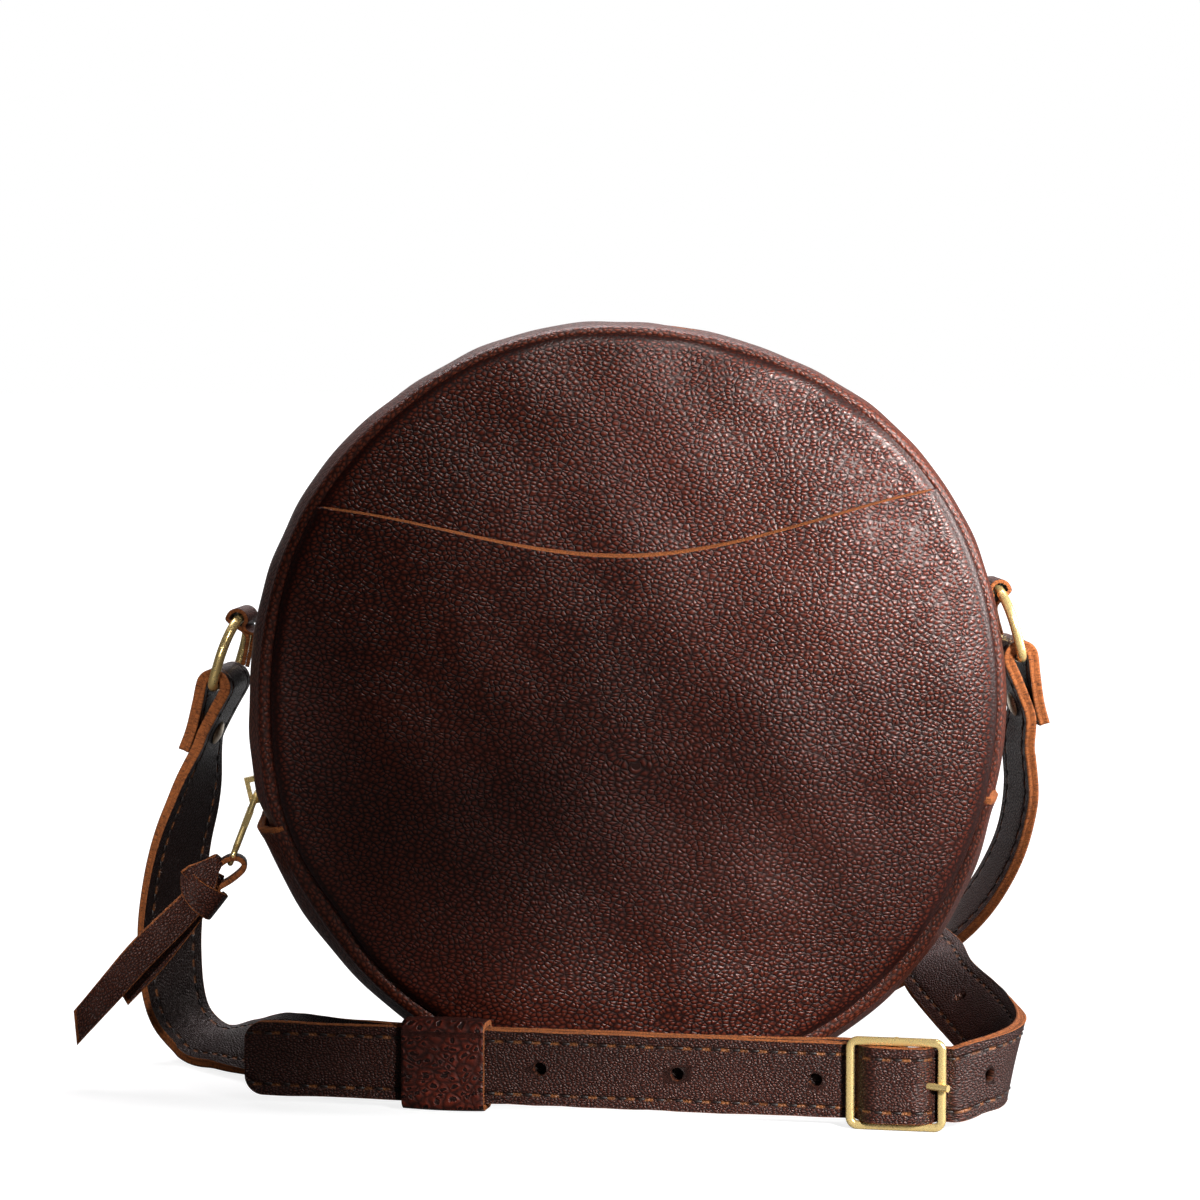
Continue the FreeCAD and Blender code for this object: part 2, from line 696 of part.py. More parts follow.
def fold_slot():
    half = prong_width / 2 + prong_slot_gap
    depth = prong_loop_outer + strap_thickness
    reach = prong_loop_outer + prong_slot_gap
    corners = [on_run(s, bar_level + q)[0] - up * half
               for s, q in ((-2 * reach, -depth), (3 * reach, -depth), (3 * reach, depth), (-2 * reach, depth))]
    return closed_polygon(corners).extrude(up * (2 * half))


def punched(solid, path, distances):
    for distance in distances:
        walked = 0.0
        backwards = frames(path)[::-1]
        for (a, _, _, face), (b, _, _, _) in zip(backwards, backwards[1:]):
            step = (b - a).Length
            if walked + step >= distance:
                point = a + (b - a) * ((distance - walked) / step)
                start = point - face * strap_thickness
                solid = solid.cut(Part.makeCylinder(hole_radius, 2 * strap_thickness, start, face))
                break
            walked += step
    return solid


def straps():
    common = fold_left.stations() + left_drop() + strap_run()
    lining_path = smooth(common + [on_run(-side_bar - 2 * buckle_wire, strap_level)], 2)
    face_path = smooth(common + buckle_wrap(), 2)
    billet_path = smooth(fold_right.stations() + right_drop() + curl() + return_and_bend() + billet_run(), 2)
    left_hole = fold_left.rivet_hole()
    right_hole = fold_right.rivet_hole()
    plies = {
        "buckle_strap_face": ribbon(face_path, ply_gap, half_thick).cut(left_hole).cut(fold_slot()),
        "buckle_strap_lining": ribbon(lining_path, -half_thick, -ply_gap).cut(left_hole),
    }
    room = prong_room()
    for name, low, high in (("billet_face", -half_thick, -ply_gap), ("billet_lining", ply_gap, half_thick)):
        ply = ribbon(billet_path, low, high, tip_corner).cut(right_hole).cut(room)
        plies[name] = punched(ply, billet_path, hole_stations)
    return plies


# Buckle frame: rectangular ring with its centre bar set back
def rounded_plate(length, height, corner, low, high):
    shape = Part.makeBox(length, high - low, height)
    shape.translate(Vector(-length / 2, -high, -height / 2))
    edges = [e for e in shape.Edges if abs(e.tangentAt(e.FirstParameter).y) > 0.9]
    return shape.makeFillet(corner, edges)


def on_run_frame(shape):
    shape.rotate(Vector(0, 0, 0), up, -run_angle)
    shape.translate(buckle_centre)
    return shape


def buckle():
    low = frame_level - buckle_wire / 2
    high = frame_level + buckle_wire / 2
    outer = rounded_plate(buckle_length, buckle_height, buckle_corner, low, high)
    inner = rounded_plate(buckle_length - 2 * buckle_wire, buckle_height - 2 * buckle_wire,
                          buckle_corner - buckle_wire / 2, low, high)
    frame = outer.cut(inner)
    bar_length = buckle_height - 2 * buckle_wire
    bar = Part.makeCylinder(centre_bar, bar_length, Vector(0, -bar_level, -bar_length / 2), up)
    lugs = []
    for z in (-buckle_height / 2, buckle_height / 2 - buckle_wire):
        lug = Part.makeBox(2 * centre_bar, high - bar_level + centre_bar, buckle_wire)
        lug.translate(Vector(-centre_bar, -high, z))
        lugs.append(lug)
    return on_run_frame(joined([frame, bar] + lugs))


def keeper():
    half_depth = strap_thickness + ply_gap + keeper_gap
    height = strap_width + 2 * keeper_gap
    outer_depth = half_depth + keeper_wall
    sleeve = Part.makeBox(keeper_length, 2 * outer_depth, height + 2 * keeper_wall)
    sleeve.translate(Vector(-keeper_length / 2, -outer_depth, -height / 2 - keeper_wall))
    edges = [e for e in sleeve.Edges if abs(e.tangentAt(e.FirstParameter).x) > 0.9]
    sleeve = sleeve.makeFillet(keeper_wall, edges)
    window = Part.makeBox(keeper_length, 2 * half_depth, height)
    window.translate(Vector(-keeper_length / 2, -half_depth, -height / 2))
    sleeve = sleeve.cut(window)
    sleeve.translate(Vector(-keeper_place, 0, 0))
    return on_run_frame(sleeve)


def build():
    nodes = {
        "front_panel": panel(-1, layer_gap, panel_leather),
        "front_pocket": pocket(),
        "back_panel": panel(1, layer_gap, panel_leather),
        "zip_gusset_front": zip_gusset(-1),
        "zip_gusset_rear": zip_gusset(1),
        "lower_gusset": lower_gusset(),
        "slider_body": slider(),
        "pull_tab": pull(),
        "pull_lace": lace(),
        "d_ring_left": ring(ring_left),
        "d_ring_right": ring(ring_right),
        "ring_tab_left": ring_tab(ring_left),
        "ring_tab_right": ring_tab(ring_right),
        "strap_rivet_left": fold_left.rivet(),
        "strap_rivet_right": fold_right.rivet(),
        "buckle_frame": buckle(),
        "buckle_prong": prong(),
        "keeper_loop": keeper(),
    }
    nodes.update(zip_rows())
    nodes.update(straps())
    return nodes


os.makedirs("parts", exist_ok=True)
for name, shape in build().items():
    shape.exportStep("parts/" + name + ".step")
    box = shape.BoundBox
    print(name, shape.isValid(), len(shape.Solids), round(shape.Volume, 1),
          [round(v, 1) for v in (box.XMin, box.YMin, box.ZMin, box.XMax, box.YMax, box.ZMax)])
print("crossbar", crossbar, "eye_bar", eye_bar)
print("ring tops", ring_left.top, ring_right.top, "along", ring_left.along, ring_right.along)
print("buckle_centre", buckle_centre, "run_along", run_along, "bar level", bar_level)
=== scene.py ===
import math

import bpy
import numpy as np
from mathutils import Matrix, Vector


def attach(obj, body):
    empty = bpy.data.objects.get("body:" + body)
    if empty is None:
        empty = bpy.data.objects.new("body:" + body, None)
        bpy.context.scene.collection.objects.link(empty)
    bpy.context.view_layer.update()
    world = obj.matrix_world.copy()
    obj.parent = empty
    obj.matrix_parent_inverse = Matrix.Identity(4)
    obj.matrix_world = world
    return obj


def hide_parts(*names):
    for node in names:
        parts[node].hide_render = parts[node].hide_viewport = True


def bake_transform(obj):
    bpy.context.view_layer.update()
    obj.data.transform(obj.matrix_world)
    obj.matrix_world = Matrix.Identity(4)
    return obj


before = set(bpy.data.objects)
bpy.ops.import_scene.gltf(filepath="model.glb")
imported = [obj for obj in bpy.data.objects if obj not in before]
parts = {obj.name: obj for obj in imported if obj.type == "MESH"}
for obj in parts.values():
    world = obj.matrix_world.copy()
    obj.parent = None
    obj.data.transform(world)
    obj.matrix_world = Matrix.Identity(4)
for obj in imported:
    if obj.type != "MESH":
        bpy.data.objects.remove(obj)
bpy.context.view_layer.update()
mm = 0.001
bagHeart = np.array([0.0, 0.0, 100.1])  # middle of the round outline
up = np.array([0, 0, 1.0])
print("frame loaded:", len(parts), "CAD nodes")


# geometry helpers on whole arrays, in millimetres
# each vector divided by its length
def unit(v):
    return v / np.linalg.norm(v, axis=-1, keepdims=True)


# smooth step t t (3 - 2 t), with t the share of the way from low to high
def ease(x, low, high):
    t = np.clip((x - low) / (high - low), 0, 1)
    return t * t * (3 - 2 * t)


# values side by side along a new last axis, each spread to their common shape
def columns(*values):
    return np.stack(np.broadcast_arrays(*values), -1)


# angles of equal steps round a full turn
def circle(count):
    return np.linspace(0, 2 * math.pi, count, endpoint=False)


# length from the first of a row of points to each of them
def walk(points):
    return np.r_[0, np.cumsum(np.linalg.norm(np.diff(points, axis=0), axis=1))]


# values held at the walked lengths, read off at lengths s
def lookUp(s, walked, values):
    return columns(*(np.interp(s, walked, values[:, k]) for k in range(3)))


# sum of ten slanted sine waves, about -1 to 1: soft unevenness that is the same each run
def lumps(p, size, seed):
    pick = np.random.default_rng(seed)
    turn = unit(pick.normal(size=(10, p.shape[-1]))) * pick.uniform(0.6, 1.5, (10, 1))
    return np.sin(p @ turn.T * (2 * math.pi / size) + pick.uniform(0, 6.3, 10)).sum(-1) / 3.5


# radius round the bag, degrees counter-clockwise from +X: a base plus, for each bulge,
# its height times exp(-(degrees from its middle / spread) squared)
def roundTheBag(base, bulges, degrees):
    total = base
    for middle, spread, height in bulges:
        off = (degrees - middle + 180) % 360 - 180
        total = total + height * np.exp(-(off / spread) ** 2)
    return total


# quads of a grid; a looped direction joins its last line to its first
def gridQuads(rows, cols, loopRows=False, loopCols=False):
    r = np.arange(rows if loopRows else rows - 1)[:, None]
    c = np.arange(cols if loopCols else cols - 1)[None, :]
    r2, c2 = (r + 1) % rows, (c + 1) % cols
    return columns(r * cols + c, r * cols + c2, r2 * cols + c2, r2 * cols + c).reshape(-1, 4)


# closed disc: rings of points, then the two poles that fans of triangles join to the first and last ring
def discFaces(rings, cols):
    c = np.arange(cols)
    after = (c + 1) % cols
    first, edge = rings * cols, (rings - 1) * cols
    near = columns(first, after, c).tolist()
    far = columns(first + 1, edge + c, edge + after).tolist()
    return gridQuads(rings, cols, loopCols=True).tolist() + near + far


# closed bar: a looped profile carried along rows, its two ends capped
def barFaces(rows, cols, start=0):
    quads = (gridQuads(rows, cols, loopCols=True) + start).tolist()
    nearCap = list(range(start, start + cols))[::-1]
    farCap = list(range(start + (rows - 1) * cols, start + rows * cols))
    return quads + [nearCap, farCap]


# faces of equal closed bars, one after another
def manyBars(count, rows, cols):
    return [face for k in range(count) for face in barFaces(rows, cols, k * rows * cols)]


# six times the signed volume under the triangles and quads: the sum of p0 . (p1 x p2) over their fans
def volumeOf(points, faces):
    total = 0.0
    for size in (3, 4):
        f = np.array([x for x in faces if len(x) == size], int).reshape(-1, size)
        for k in range(1, size - 1):
            turn = np.cross(points[f[:, k]], points[f[:, k + 1]])
            total += (points[f[:, 0]] * turn).sum()
    return total


# mesh at the origin, faces turned outward; lay holds (along mm, across mm, kind) at each point
def makePiece(name, points, faces, finishes, lay=None):
    points = np.asarray(points, float).reshape(-1, 3)
    faces = [list(f) for f in faces]
    if volumeOf(points, faces) < 0:
        faces = [f[::-1] for f in faces]
    mesh = bpy.data.meshes.new(name)
    mesh.from_pydata((points * mm).tolist(), [], faces)
    mesh.polygons.foreach_set("use_smooth", np.ones(len(mesh.polygons), bool))
    if lay is not None:
        held = mesh.attributes.new("lay", "FLOAT_VECTOR", "POINT")
        held.data.foreach_set("vector", np.asarray(lay, np.float32).ravel())
    for finish in finishes:
        mesh.materials.append(finish)
    piece = bpy.data.objects.new(name, mesh)
    bpy.context.scene.collection.objects.link(piece)
    return piece


# the body that a piece rides on (None leaves it unattached), its slot, which is not used, and the CAD nodes
# it stands for
def belongs(piece, body, slotName, *cadNodes):
    if body:
        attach(piece, body)
    if cadNodes:
        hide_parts(*cadNodes)
    return piece


# Hermite curve through stations (point, width direction): the slope at a station is the step between
# its neighbours over the length between them
def smoothPath(stations, steps):
    both = np.array([list(p) + list(w) for p, w in stations], float)
    length = np.linalg.norm(np.diff(both[:, :3], axis=0), axis=1)
    run = np.r_[0, np.cumsum(length)]
    order = np.arange(len(both))
    low, high = np.maximum(order - 1, 0), np.minimum(order + 1, len(both) - 1)
    slope = (both[high] - both[low]) / (run[high] - run[low])[:, None]
    t = np.linspace(0, 1, steps, endpoint=False)[None, :, None]
    keep = 2 * t ** 3 - 3 * t ** 2 + 1
    leave, arrive = t ** 3 - 2 * t ** 2 + t, t ** 3 - t ** 2
    span = length[:, None, None]
    curve = both[:-1, None] * keep + both[1:, None] * (1 - keep)
    curve = curve + slope[:-1, None] * leave * span + slope[1:, None] * arrive * span
    curve = np.vstack([curve.reshape(-1, 6), both[-1:]])
    return curve[:, :3], curve[:, 3:]


# along = slope of the path, across = the width less its part along the path, face = along x across
def framesOf(path, width):
    along = unit(np.gradient(path, axis=0))
    across = unit(width - along * (width * along).sum(1, keepdims=True))
    return along, across, np.cross(along, across), walk(path)


# strip: a section of (across, out, kind) carried along the path, across times half; both ends are raw
def sweep(path, frames, section, half):
    _, across, face, walked = frames
    a = section[:, 0] * half[:, None]
    points = path[:, None] + across[:, None] * a[..., None] + face[:, None] * section[:, 1:2]
    lay = columns(walked[:, None], a, section[:, 2])
    lay[0, :, 2] = lay[-1, :, 2] = 1
    return points, lay


# shader helpers: a node's output that can be reckoned with, one math node for each operator
class Wire:
    def __init__(self, graph, socket):
        self.graph, self.socket = graph, socket

    def maths(self, operation, a, b):
        return self.graph.node("ShaderNodeMath", {"operation": operation}, {0: a, 1: b})

    def __add__(self, other):
        return self.maths("ADD", self, other)

    def __radd__(self, other):
        return self.maths("ADD", other, self)

    def __sub__(self, other):
        return self.maths("SUBTRACT", self, other)

    def __rsub__(self, other):
        return self.maths("SUBTRACT", other, self)

    def __mul__(self, other):
        return self.maths("MULTIPLY", self, other)

    def __rmul__(self, other):
        return self.maths("MULTIPLY", other, self)

    def __truediv__(self, other):
        return self.maths("DIVIDE", self, other)

    def __mod__(self, other):
        return self.maths("FLOORED_MODULO", self, other)

    def __abs__(self):
        return self.maths("ABSOLUTE", self, 0.0)


# the nodes of one tree; an input takes a wire or a plain value
class Graph:
    def __init__(self, tree):
        self.tree = tree

    def node(self, kind, settings=None, sockets=None, out=0):
        made = self.tree.nodes.new(kind)
        for key, value in (settings or {}).items():
            setattr(made, key, value)
        for key, value in (sockets or {}).items():
            self.feed(made.inputs[key], value)
        return Wire(self, made.outputs[out])

    def feed(self, socket, value):
        if isinstance(value, Wire):
            self.tree.links.new(value.socket, socket)
        else:
            socket.default_value = value

    def place(self, out="Object"):
        return self.node("ShaderNodeTexCoord", None, None, out)

    def lay(self):
        return self.node("ShaderNodeAttribute", {"attribute_name": "lay"}, None, "Vector")

    def ray(self, kind):  # 1 for rays of this kind
        return self.node("ShaderNodeLightPath", None, None, "Is " + kind + " Ray")

    def blendColour(self, factor, a, b):  # a at factor 0, b at 1
        a, b = [c if isinstance(c, Wire) else (*c, 1) for c in (a, b)]
        return self.node("ShaderNodeMix", {"data_type": "RGBA"}, {0: factor, 6: a, 7: b}, 2)

    def between(self, value, low, high, start=0.0, end=1.0):  # smooth step from start at low to end at high
        return self.node("ShaderNodeMapRange", {"interpolation_type": "SMOOTHSTEP"},
                         {0: value, 1: low, 2: high, 3: start, 4: end})

    def cloud(self, where, scale, detail=2.0, rough=0.5, out=0):
        return self.node("ShaderNodeTexNoise", {"noise_dimensions": "3D"},
                         {"Vector": where, "Scale": scale, "Detail": detail, "Roughness": rough}, out)

    def cells(self, feature, where, scale, **sockets):
        return self.node("ShaderNodeTexVoronoi", {"voronoi_dimensions": "2D", "feature": feature},
                         dict(sockets, Vector=where, Scale=scale))

    def mapped(self, vector, turn, scale):  # scaled, then turned about z
        return self.node("ShaderNodeMapping", {"vector_type": "POINT"},
                         {0: vector, 2: (0, 0, turn), 3: scale})

    def split(self, vector):
        first = self.node("ShaderNodeSeparateXYZ", None, {0: vector})
        return [Wire(self, socket) for socket in first.socket.node.outputs]

    def bump(self, height, distance, strength=1.0):
        sockets = {"Height": height, "Distance": distance, "Strength": strength}
        return self.node("ShaderNodeBump", None, sockets)


class Finish(Graph):
    def __init__(self, name, **constants):
        self.material = bpy.data.materials.new(name)
        self.material.use_nodes = True
        super().__init__(self.material.node_tree)
        self.shader = self.tree.nodes["Principled BSDF"]
        self.give(**constants)

    def give(self, **inputs):
        for key, value in inputs.items():
            self.feed(self.shader.inputs[key.replace("_", " ")], value)
        return self.material


# hides: cell in mm, depth of the grain in metres, colours from deep to top, roughness on and between pebbles
panelHide = dict(cell=1.55, stretch=0.72, turn=0.5, wander=0.50, depth=0.00019, crease=0.6, grainAndShade=0.56,
                 deep=(0.0070, 0.0010, 0.0007), top=(0.0930, 0.0160, 0.0078), shine=(0.31, 0.44),
                 cross=0.0, stitch=None, pits=0, lining=None)
gussetHide = dict(panelHide, cell=1.5, depth=0.00012, crease=0.2, shine=(0.36, 0.46),
                  deep=(0.0160, 0.0036, 0.0020), top=(0.1150, 0.0220, 0.0095))
strapHide = dict(panelHide, cell=0.95, stretch=0.7, turn=0.2, wander=0.75, depth=0.00022, crease=0.5,
                 grainAndShade=0.42, deep=(0.0050, 0.0013, 0.0010), top=(0.0720, 0.0200, 0.0130), shine=(0.36, 0.54),
                 cross=0.45, stitch=(6.75, 4.9))
buckleStrapHide = dict(strapHide, lining=(0.0035, 0.0014, 0.0012))
keeperHide = dict(panelHide, cell=3.0, stretch=0.75, turn=0.9, wander=0.85, depth=0.00040, crease=0.1,
                  grainAndShade=0.15, deep=(0.0050, 0.0010, 0.0007), top=(0.4400, 0.0640, 0.0310), shine=(0.36, 0.54),
                  pits=0.30)
laceHide = dict(strapHide, cross=0.0, stitch=None, deep=(0.0150, 0.0036, 0.0022), top=(0.110, 0.0300, 0.0170))
rawFibre = dict(light=(0.28, 0.082, 0.020), dark=(0.060, 0.016, 0.005), rough=0.86)
# stitch furrow colours: deep is painted shade in the sunk furrow, worn is the fibre rubbed bare between
# stitches
furrowShadeAndWear = dict(deep=(0.006, 0.0022, 0.0015), worn=(0.24, 0.085, 0.027))


# pebbles are Voronoi cells on the lay, swayed by a cloud; tone = pebble x its weight + clouds - creases: the
# lighter pebble tops and darker creases are painted shade on the grain, the clouds are the hide's own uneven
# tone.
# kind: 1 raw fibre, 0 plain, down to -0.75 where the hide is taut and its grain calm, and where the seam's
# valley is painted as shade.
def leather(name, hide):
    f = Finish(name, Specular_IOR_Level=0.30, Specular_Tint=(1.0, 0.86, 0.82, 1))
    lay = f.lay()
    along, across, kind = f.split(lay)
    spread = f.mapped(lay, hide["turn"], (1 / hide["cell"], 1 / (hide["cell"] * hide["stretch"]), 0))
    sway = (hide["wander"] * 2, hide["wander"] * 2, 0)
    drift = f.node("ShaderNodeVectorMath", {"operation": "MULTIPLY_ADD"},
                   {0: f.cloud(spread, 0.42, 2.0, 0.5, 1), 1: sway, 2: spread})
    near = f.cells("SMOOTH_F1", drift, 1.0, Randomness=0.88, Smoothness=0.30)
    wall = f.cells("DISTANCE_TO_EDGE", drift, 1.0, Randomness=0.88)
    small = f.cells("F1", drift, 2.4, Randomness=1.0)
    broad = f.cloud(lay, 0.022, 3.0, 0.55)
    patch = f.cloud(lay, 0.16, 2.0, 0.5)
    fine = f.cloud(drift, 3.2, 3.0, 0.6)
    pebble = f.between(wall, 0.0, 0.34) * 0.40 + f.between(near, 0.50, -0.05) * 0.75
    line = (1 - f.between(wall, 0.0, 0.16)) * f.between(patch, 0.36, 0.60) * hide["crease"]
    calm = f.between(kind, -1.0, 0.0, 0.12, 1.0)
    height = (pebble * 0.70 - line * 0.45 - small * 0.09 + fine * 0.08) * calm
    if hide["cross"]:  # streaks across the strap
        height = height + f.cloud(f.mapped(lay, 0.25, (1.5, 0.2, 0)), 1.0, 3.0, 0.6) * hide["cross"] * 1.6
    if hide["pits"]:
        pit = 1 - f.between(near + (fine - 0.5) * 0.35, hide["pits"] - 0.16, hide["pits"])
        height, pebble = height - pit * 1.1, pebble * (1 - pit)
    # painted shade: pebble tops are lightened and crease lines darkened in the colour, on top of the bump
    tone = pebble * hide["grainAndShade"] + fine * 0.25 + broad * 0.40 + patch * 0.15 - line * 0.50
    colour = f.blendColour(f.between(tone, 0.30, 0.98), hide["deep"], hide["top"])
    # painted shade: the pits are darkened towards the deep colour
    if hide["pits"]:
        colour = f.blendColour(pit * 0.9, colour, hide["deep"])
    if hide["lining"]:  # the inner face, laid below 1000 mm, is darker
        colour = f.blendColour(f.between(along, 1200, 1000, 0.0, 0.85), colour, hide["lining"])
    gloss, matt = hide["shine"]
    rough = matt - (matt - gloss) * pebble + (fine - 0.5) * 0.14
    if hide["stitch"]:  # dark furrow along the row, worn to the fibre between stitches
        row, pitch = hide["stitch"]
        furrow = 1 - f.between(abs(abs(across) - row), 0.12, 0.62)
        beat = abs((along / pitch) % 1.0 - 0.5)
        worn = furrow * f.between(beat, 0.20, 0.34) * f.between(fine + patch, 0.75, 1.15)
        # painted shade: the sunk furrow is darkened; the paler worn bits between stitches are real wear
        colour = f.blendColour(furrow * 0.55, colour, furrowShadeAndWear["deep"])
        colour = f.blendColour(worn * 0.8, colour, furrowShadeAndWear["worn"])
        height = height - furrow * 1.3
    # painted shade: near the seam the taut hide is darkened towards its deep colour, as the valley's shadow
    colour = f.blendColour(f.between(kind, -0.69, -0.75, 0.0, 0.75), colour, hide["deep"])  # seam's valley
    fibre = f.cloud(lay, 2.2, 4.0, 0.7)
    rawColour = f.blendColour(f.between(fibre, 0.30, 0.62), rawFibre["dark"], rawFibre["light"])
    bare = f.between(kind + (fibre - 0.5) * 0.5, 0.35, 0.65)
    colour = f.blendColour(bare, colour, rawColour)
    rough = rough + (rawFibre["rough"] - rough) * bare
    height = height * (1 - bare) + fibre * bare * 0.9
    return f.give(Base_Color=colour, Roughness=rough, Normal=f.bump(height, hide["depth"]))


brassCoat = dict(bright=(0.96, 0.72, 0.31), dull=(0.90, 0.65, 0.26), shine=(0.22, 0.32))
rivetCoat = dict(bright=(0.74, 0.63, 0.45), dull=(0.40, 0.31, 0.20), shine=(0.26, 0.45))


# age, from a film and finer specks, takes the metal from bright and smooth to dull and rough
def metal(name, coat):
    f = Finish(name, Metallic=0.78)
    where = f.place()
    speck = f.cloud(where, 1500.0, 2.0, 0.6)
    age = f.between(f.cloud(where, 160.0, 4.0, 0.6) * 0.7 + speck * 0.3, 0.38, 0.66)
    gloss, matt = coat["shine"]
    rough = gloss + (matt - gloss) * age + (speck - 0.5) * 0.08
    colour = f.blendColour(age, coat["bright"], coat["dull"])
    return f.give(Base_Color=colour, Roughness=rough, Normal=f.bump(speck, 0.000003, 0.2))


# ribs each 0.9 mm along and warps each 0.6 mm across, as triangle waves
def wovenTape(name):
    f = Finish(name, Roughness=0.85)
    along, across, _ = f.split(f.lay())
    rib = abs((along / 0.9) % 1.0 - 0.5) * 2
    warp = abs((across / 0.6) % 1.0 - 0.5) * 2
    weave = f.between(rib * 0.6 + warp * 0.4, 0.2, 0.8)
    colour = f.blendColour(weave, (0.008, 0.004, 0.003), (0.034, 0.018, 0.013))
    return f.give(Base_Color=colour, Normal=f.bump(weave, 0.00018))


# worn spots are paler and rougher
def coilNylon(name):
    f = Finish(name, Specular_IOR_Level=0.5)
    wear = f.cloud(f.place(), 420.0, 3.0)
    colour = f.blendColour(f.between(wear, 0.4, 0.7), (0.014, 0.0075, 0.0055), (0.040, 0.021, 0.015))
    return f.give(Base_Color=colour, Roughness=0.30 + wear * 0.25)


# fuzz gives both the tone and the bump
def waxedThread(name):
    f = Finish(name, Roughness=0.55)
    fuzz = f.cloud(f.place(), 2600.0, 3.0, 0.6)
    colour = f.blendColour(fuzz, (0.0035, 0.0016, 0.0012), (0.016, 0.007, 0.005))
    return f.give(Base_Color=colour, Normal=f.bump(fuzz, 0.00008))


panelLeather = leather("panelLeather", panelHide)
gussetLeather = leather("gussetLeather", gussetHide)
strapLeather = leather("strapLeather", strapHide)
buckleStrapLeather = leather("buckleStrapLeather", buckleStrapHide)
keeperLeather = leather("keeperLeather", keeperHide)
laceLeather = leather("laceLeather", laceHide)
brass = metal("agedBrass", brassCoat)
rivetBrass = metal("rivetBrass", rivetCoat)
tapeCloth = wovenTape("zipTapeCloth")
coil = coilNylon("zipCoil")
thread = waxedThread("waxedThread")
print("finishes ready")

# bag body: radii as a base and bulges (middle, spread, height); side is -1 at the front, 1 at the back
rim = dict(
    seamFront=(93.3, [(48, 36, 4.7), (112, 33, 6.4), (150, 18, 2.4),
                      (198, 10, 0.6), (214, 9, -1.2), (300, 32, 2.2)]),
    crownZip=(97.0, [(45, 35, 3.5), (136, 42, 5.0), (196, 14, 2.0)]),
    crownLow=(100.7, [(196, 4, 0.7), (305, 24, 1.8), (347, 17, -2.4)]),
    seamBack=94.2, seamMean=95.6, crownBack=99.0, lowCrownBack=101.1, valley=2.2,
    seamHalf=27.0, sunk=1.2, dome=8.8, lip=2.6, lipSpan=3.6, thick=2.0, taut=-0.75)
pocket = dict(rise=57.2, dip=14.7, slope=0.028, leather=1.7, lift=0.25, halfWide=94, heart=-12.0)


# the back's seam is a quarter as uneven as the front's
def seamRadius(degrees, side):
    front = roundTheBag(*rim["seamFront"], degrees)
    return front if side < 0 else rim["seamBack"] + 0.25 * (front - rim["seamMean"])


# depth of a panel at share rho of the seam radius: a swell of dome (1 - rho cubed), a quarter-round lip
# at the seam, soft dents, and short pulls near the top
def domeDepth(rho, degrees, radius, side):
    a = np.radians(degrees)
    swell = rim["dome"] * (1 - rho ** 3.0)
    edge = np.clip((1 - rho) * radius / rim["lipSpan"], 0, 1)
    lip = rim["lip"] * np.sqrt(np.clip(1 - (1 - edge) ** 2, 0, 1))
    flat = columns(rho * radius * np.cos(a), rho * radius * np.sin(a))
    fade = ease(1 - rho, 0.0, 0.12)
    dents = 0.55 * lumps(flat, 62.0, 3 + side) * fade + 0.22 * lumps(flat, 27.0, 8 + side) * fade
    pulls = 0.5 * np.sin(a * 19 + 3 * rho) * ease(rho, 0.80, 0.93) * (1 - ease(rho, 0.96, 1.0))
    pulls = pulls * ease(np.cos(np.radians(degrees - 78)), 0.75, 1.0)
    return rim["seamHalf"] - rim["sunk"] + swell + lip + dents + pulls


# points at share rho of the seam radius, lifted off the dome
def panelPoints(rho, degrees, side, lift):
    radius = seamRadius(degrees, side)
    depth = domeDepth(rho, degrees, radius, side) + lift
    a = np.radians(degrees)
    return columns(rho * radius * np.cos(a), side * depth, bagHeart[2] + rho * radius * np.sin(a))


# rings out along the dome, then every sixth of them back inside it
def makePanel(name, side, cadNode):
    cols = 360
    degrees = np.linspace(0, 360, cols, endpoint=False)[None, :]
    share = np.r_[np.linspace(0.01, 0.955, 64), np.linspace(0.958, 1.0, 26)][:, None]
    back = share[::-6]
    outer = panelPoints(share, degrees, side, 0.0)
    inner = panelPoints(back, degrees, side, -rim["thick"])
    rows = np.concatenate([outer, inner])
    poles = np.stack([outer[0].mean(0), inner[-1].mean(0)])
    walked = walk(outer[:, 90]) + 1
    walked = np.r_[walked, walked[::-6]][:, None]
    taut = rim["taut"] * ease(np.r_[share, back], 0.94, 0.985)
    a = np.radians(degrees)
    apart = 400 * (side > 0)  # the back's grain differs from the front's
    lay = columns(walked * np.cos(a), walked * np.sin(a) + apart, taut).reshape(-1, 3)
    lay = np.vstack([lay, np.zeros((2, 3))])
    points = np.concatenate([rows.reshape(-1, 3), poles])
    piece = makePiece(name, points, discFaces(len(rows), cols), [panelLeather], lay)
    return belongs(piece, "bag", "panel_leather", cadNode)


makePanel("frontPanel", -1, "front_panel")
makePanel("backPanel", 1, "back_panel")


# height of the pocket's top edge: a slope less a cosine dip in the middle
def mouth(x):
    dip = (1 + np.cos(math.pi * np.clip(x / pocket["halfWide"], -1, 1))) / 2
    return pocket["rise"] + pocket["slope"] * x - pocket["dip"] * dip


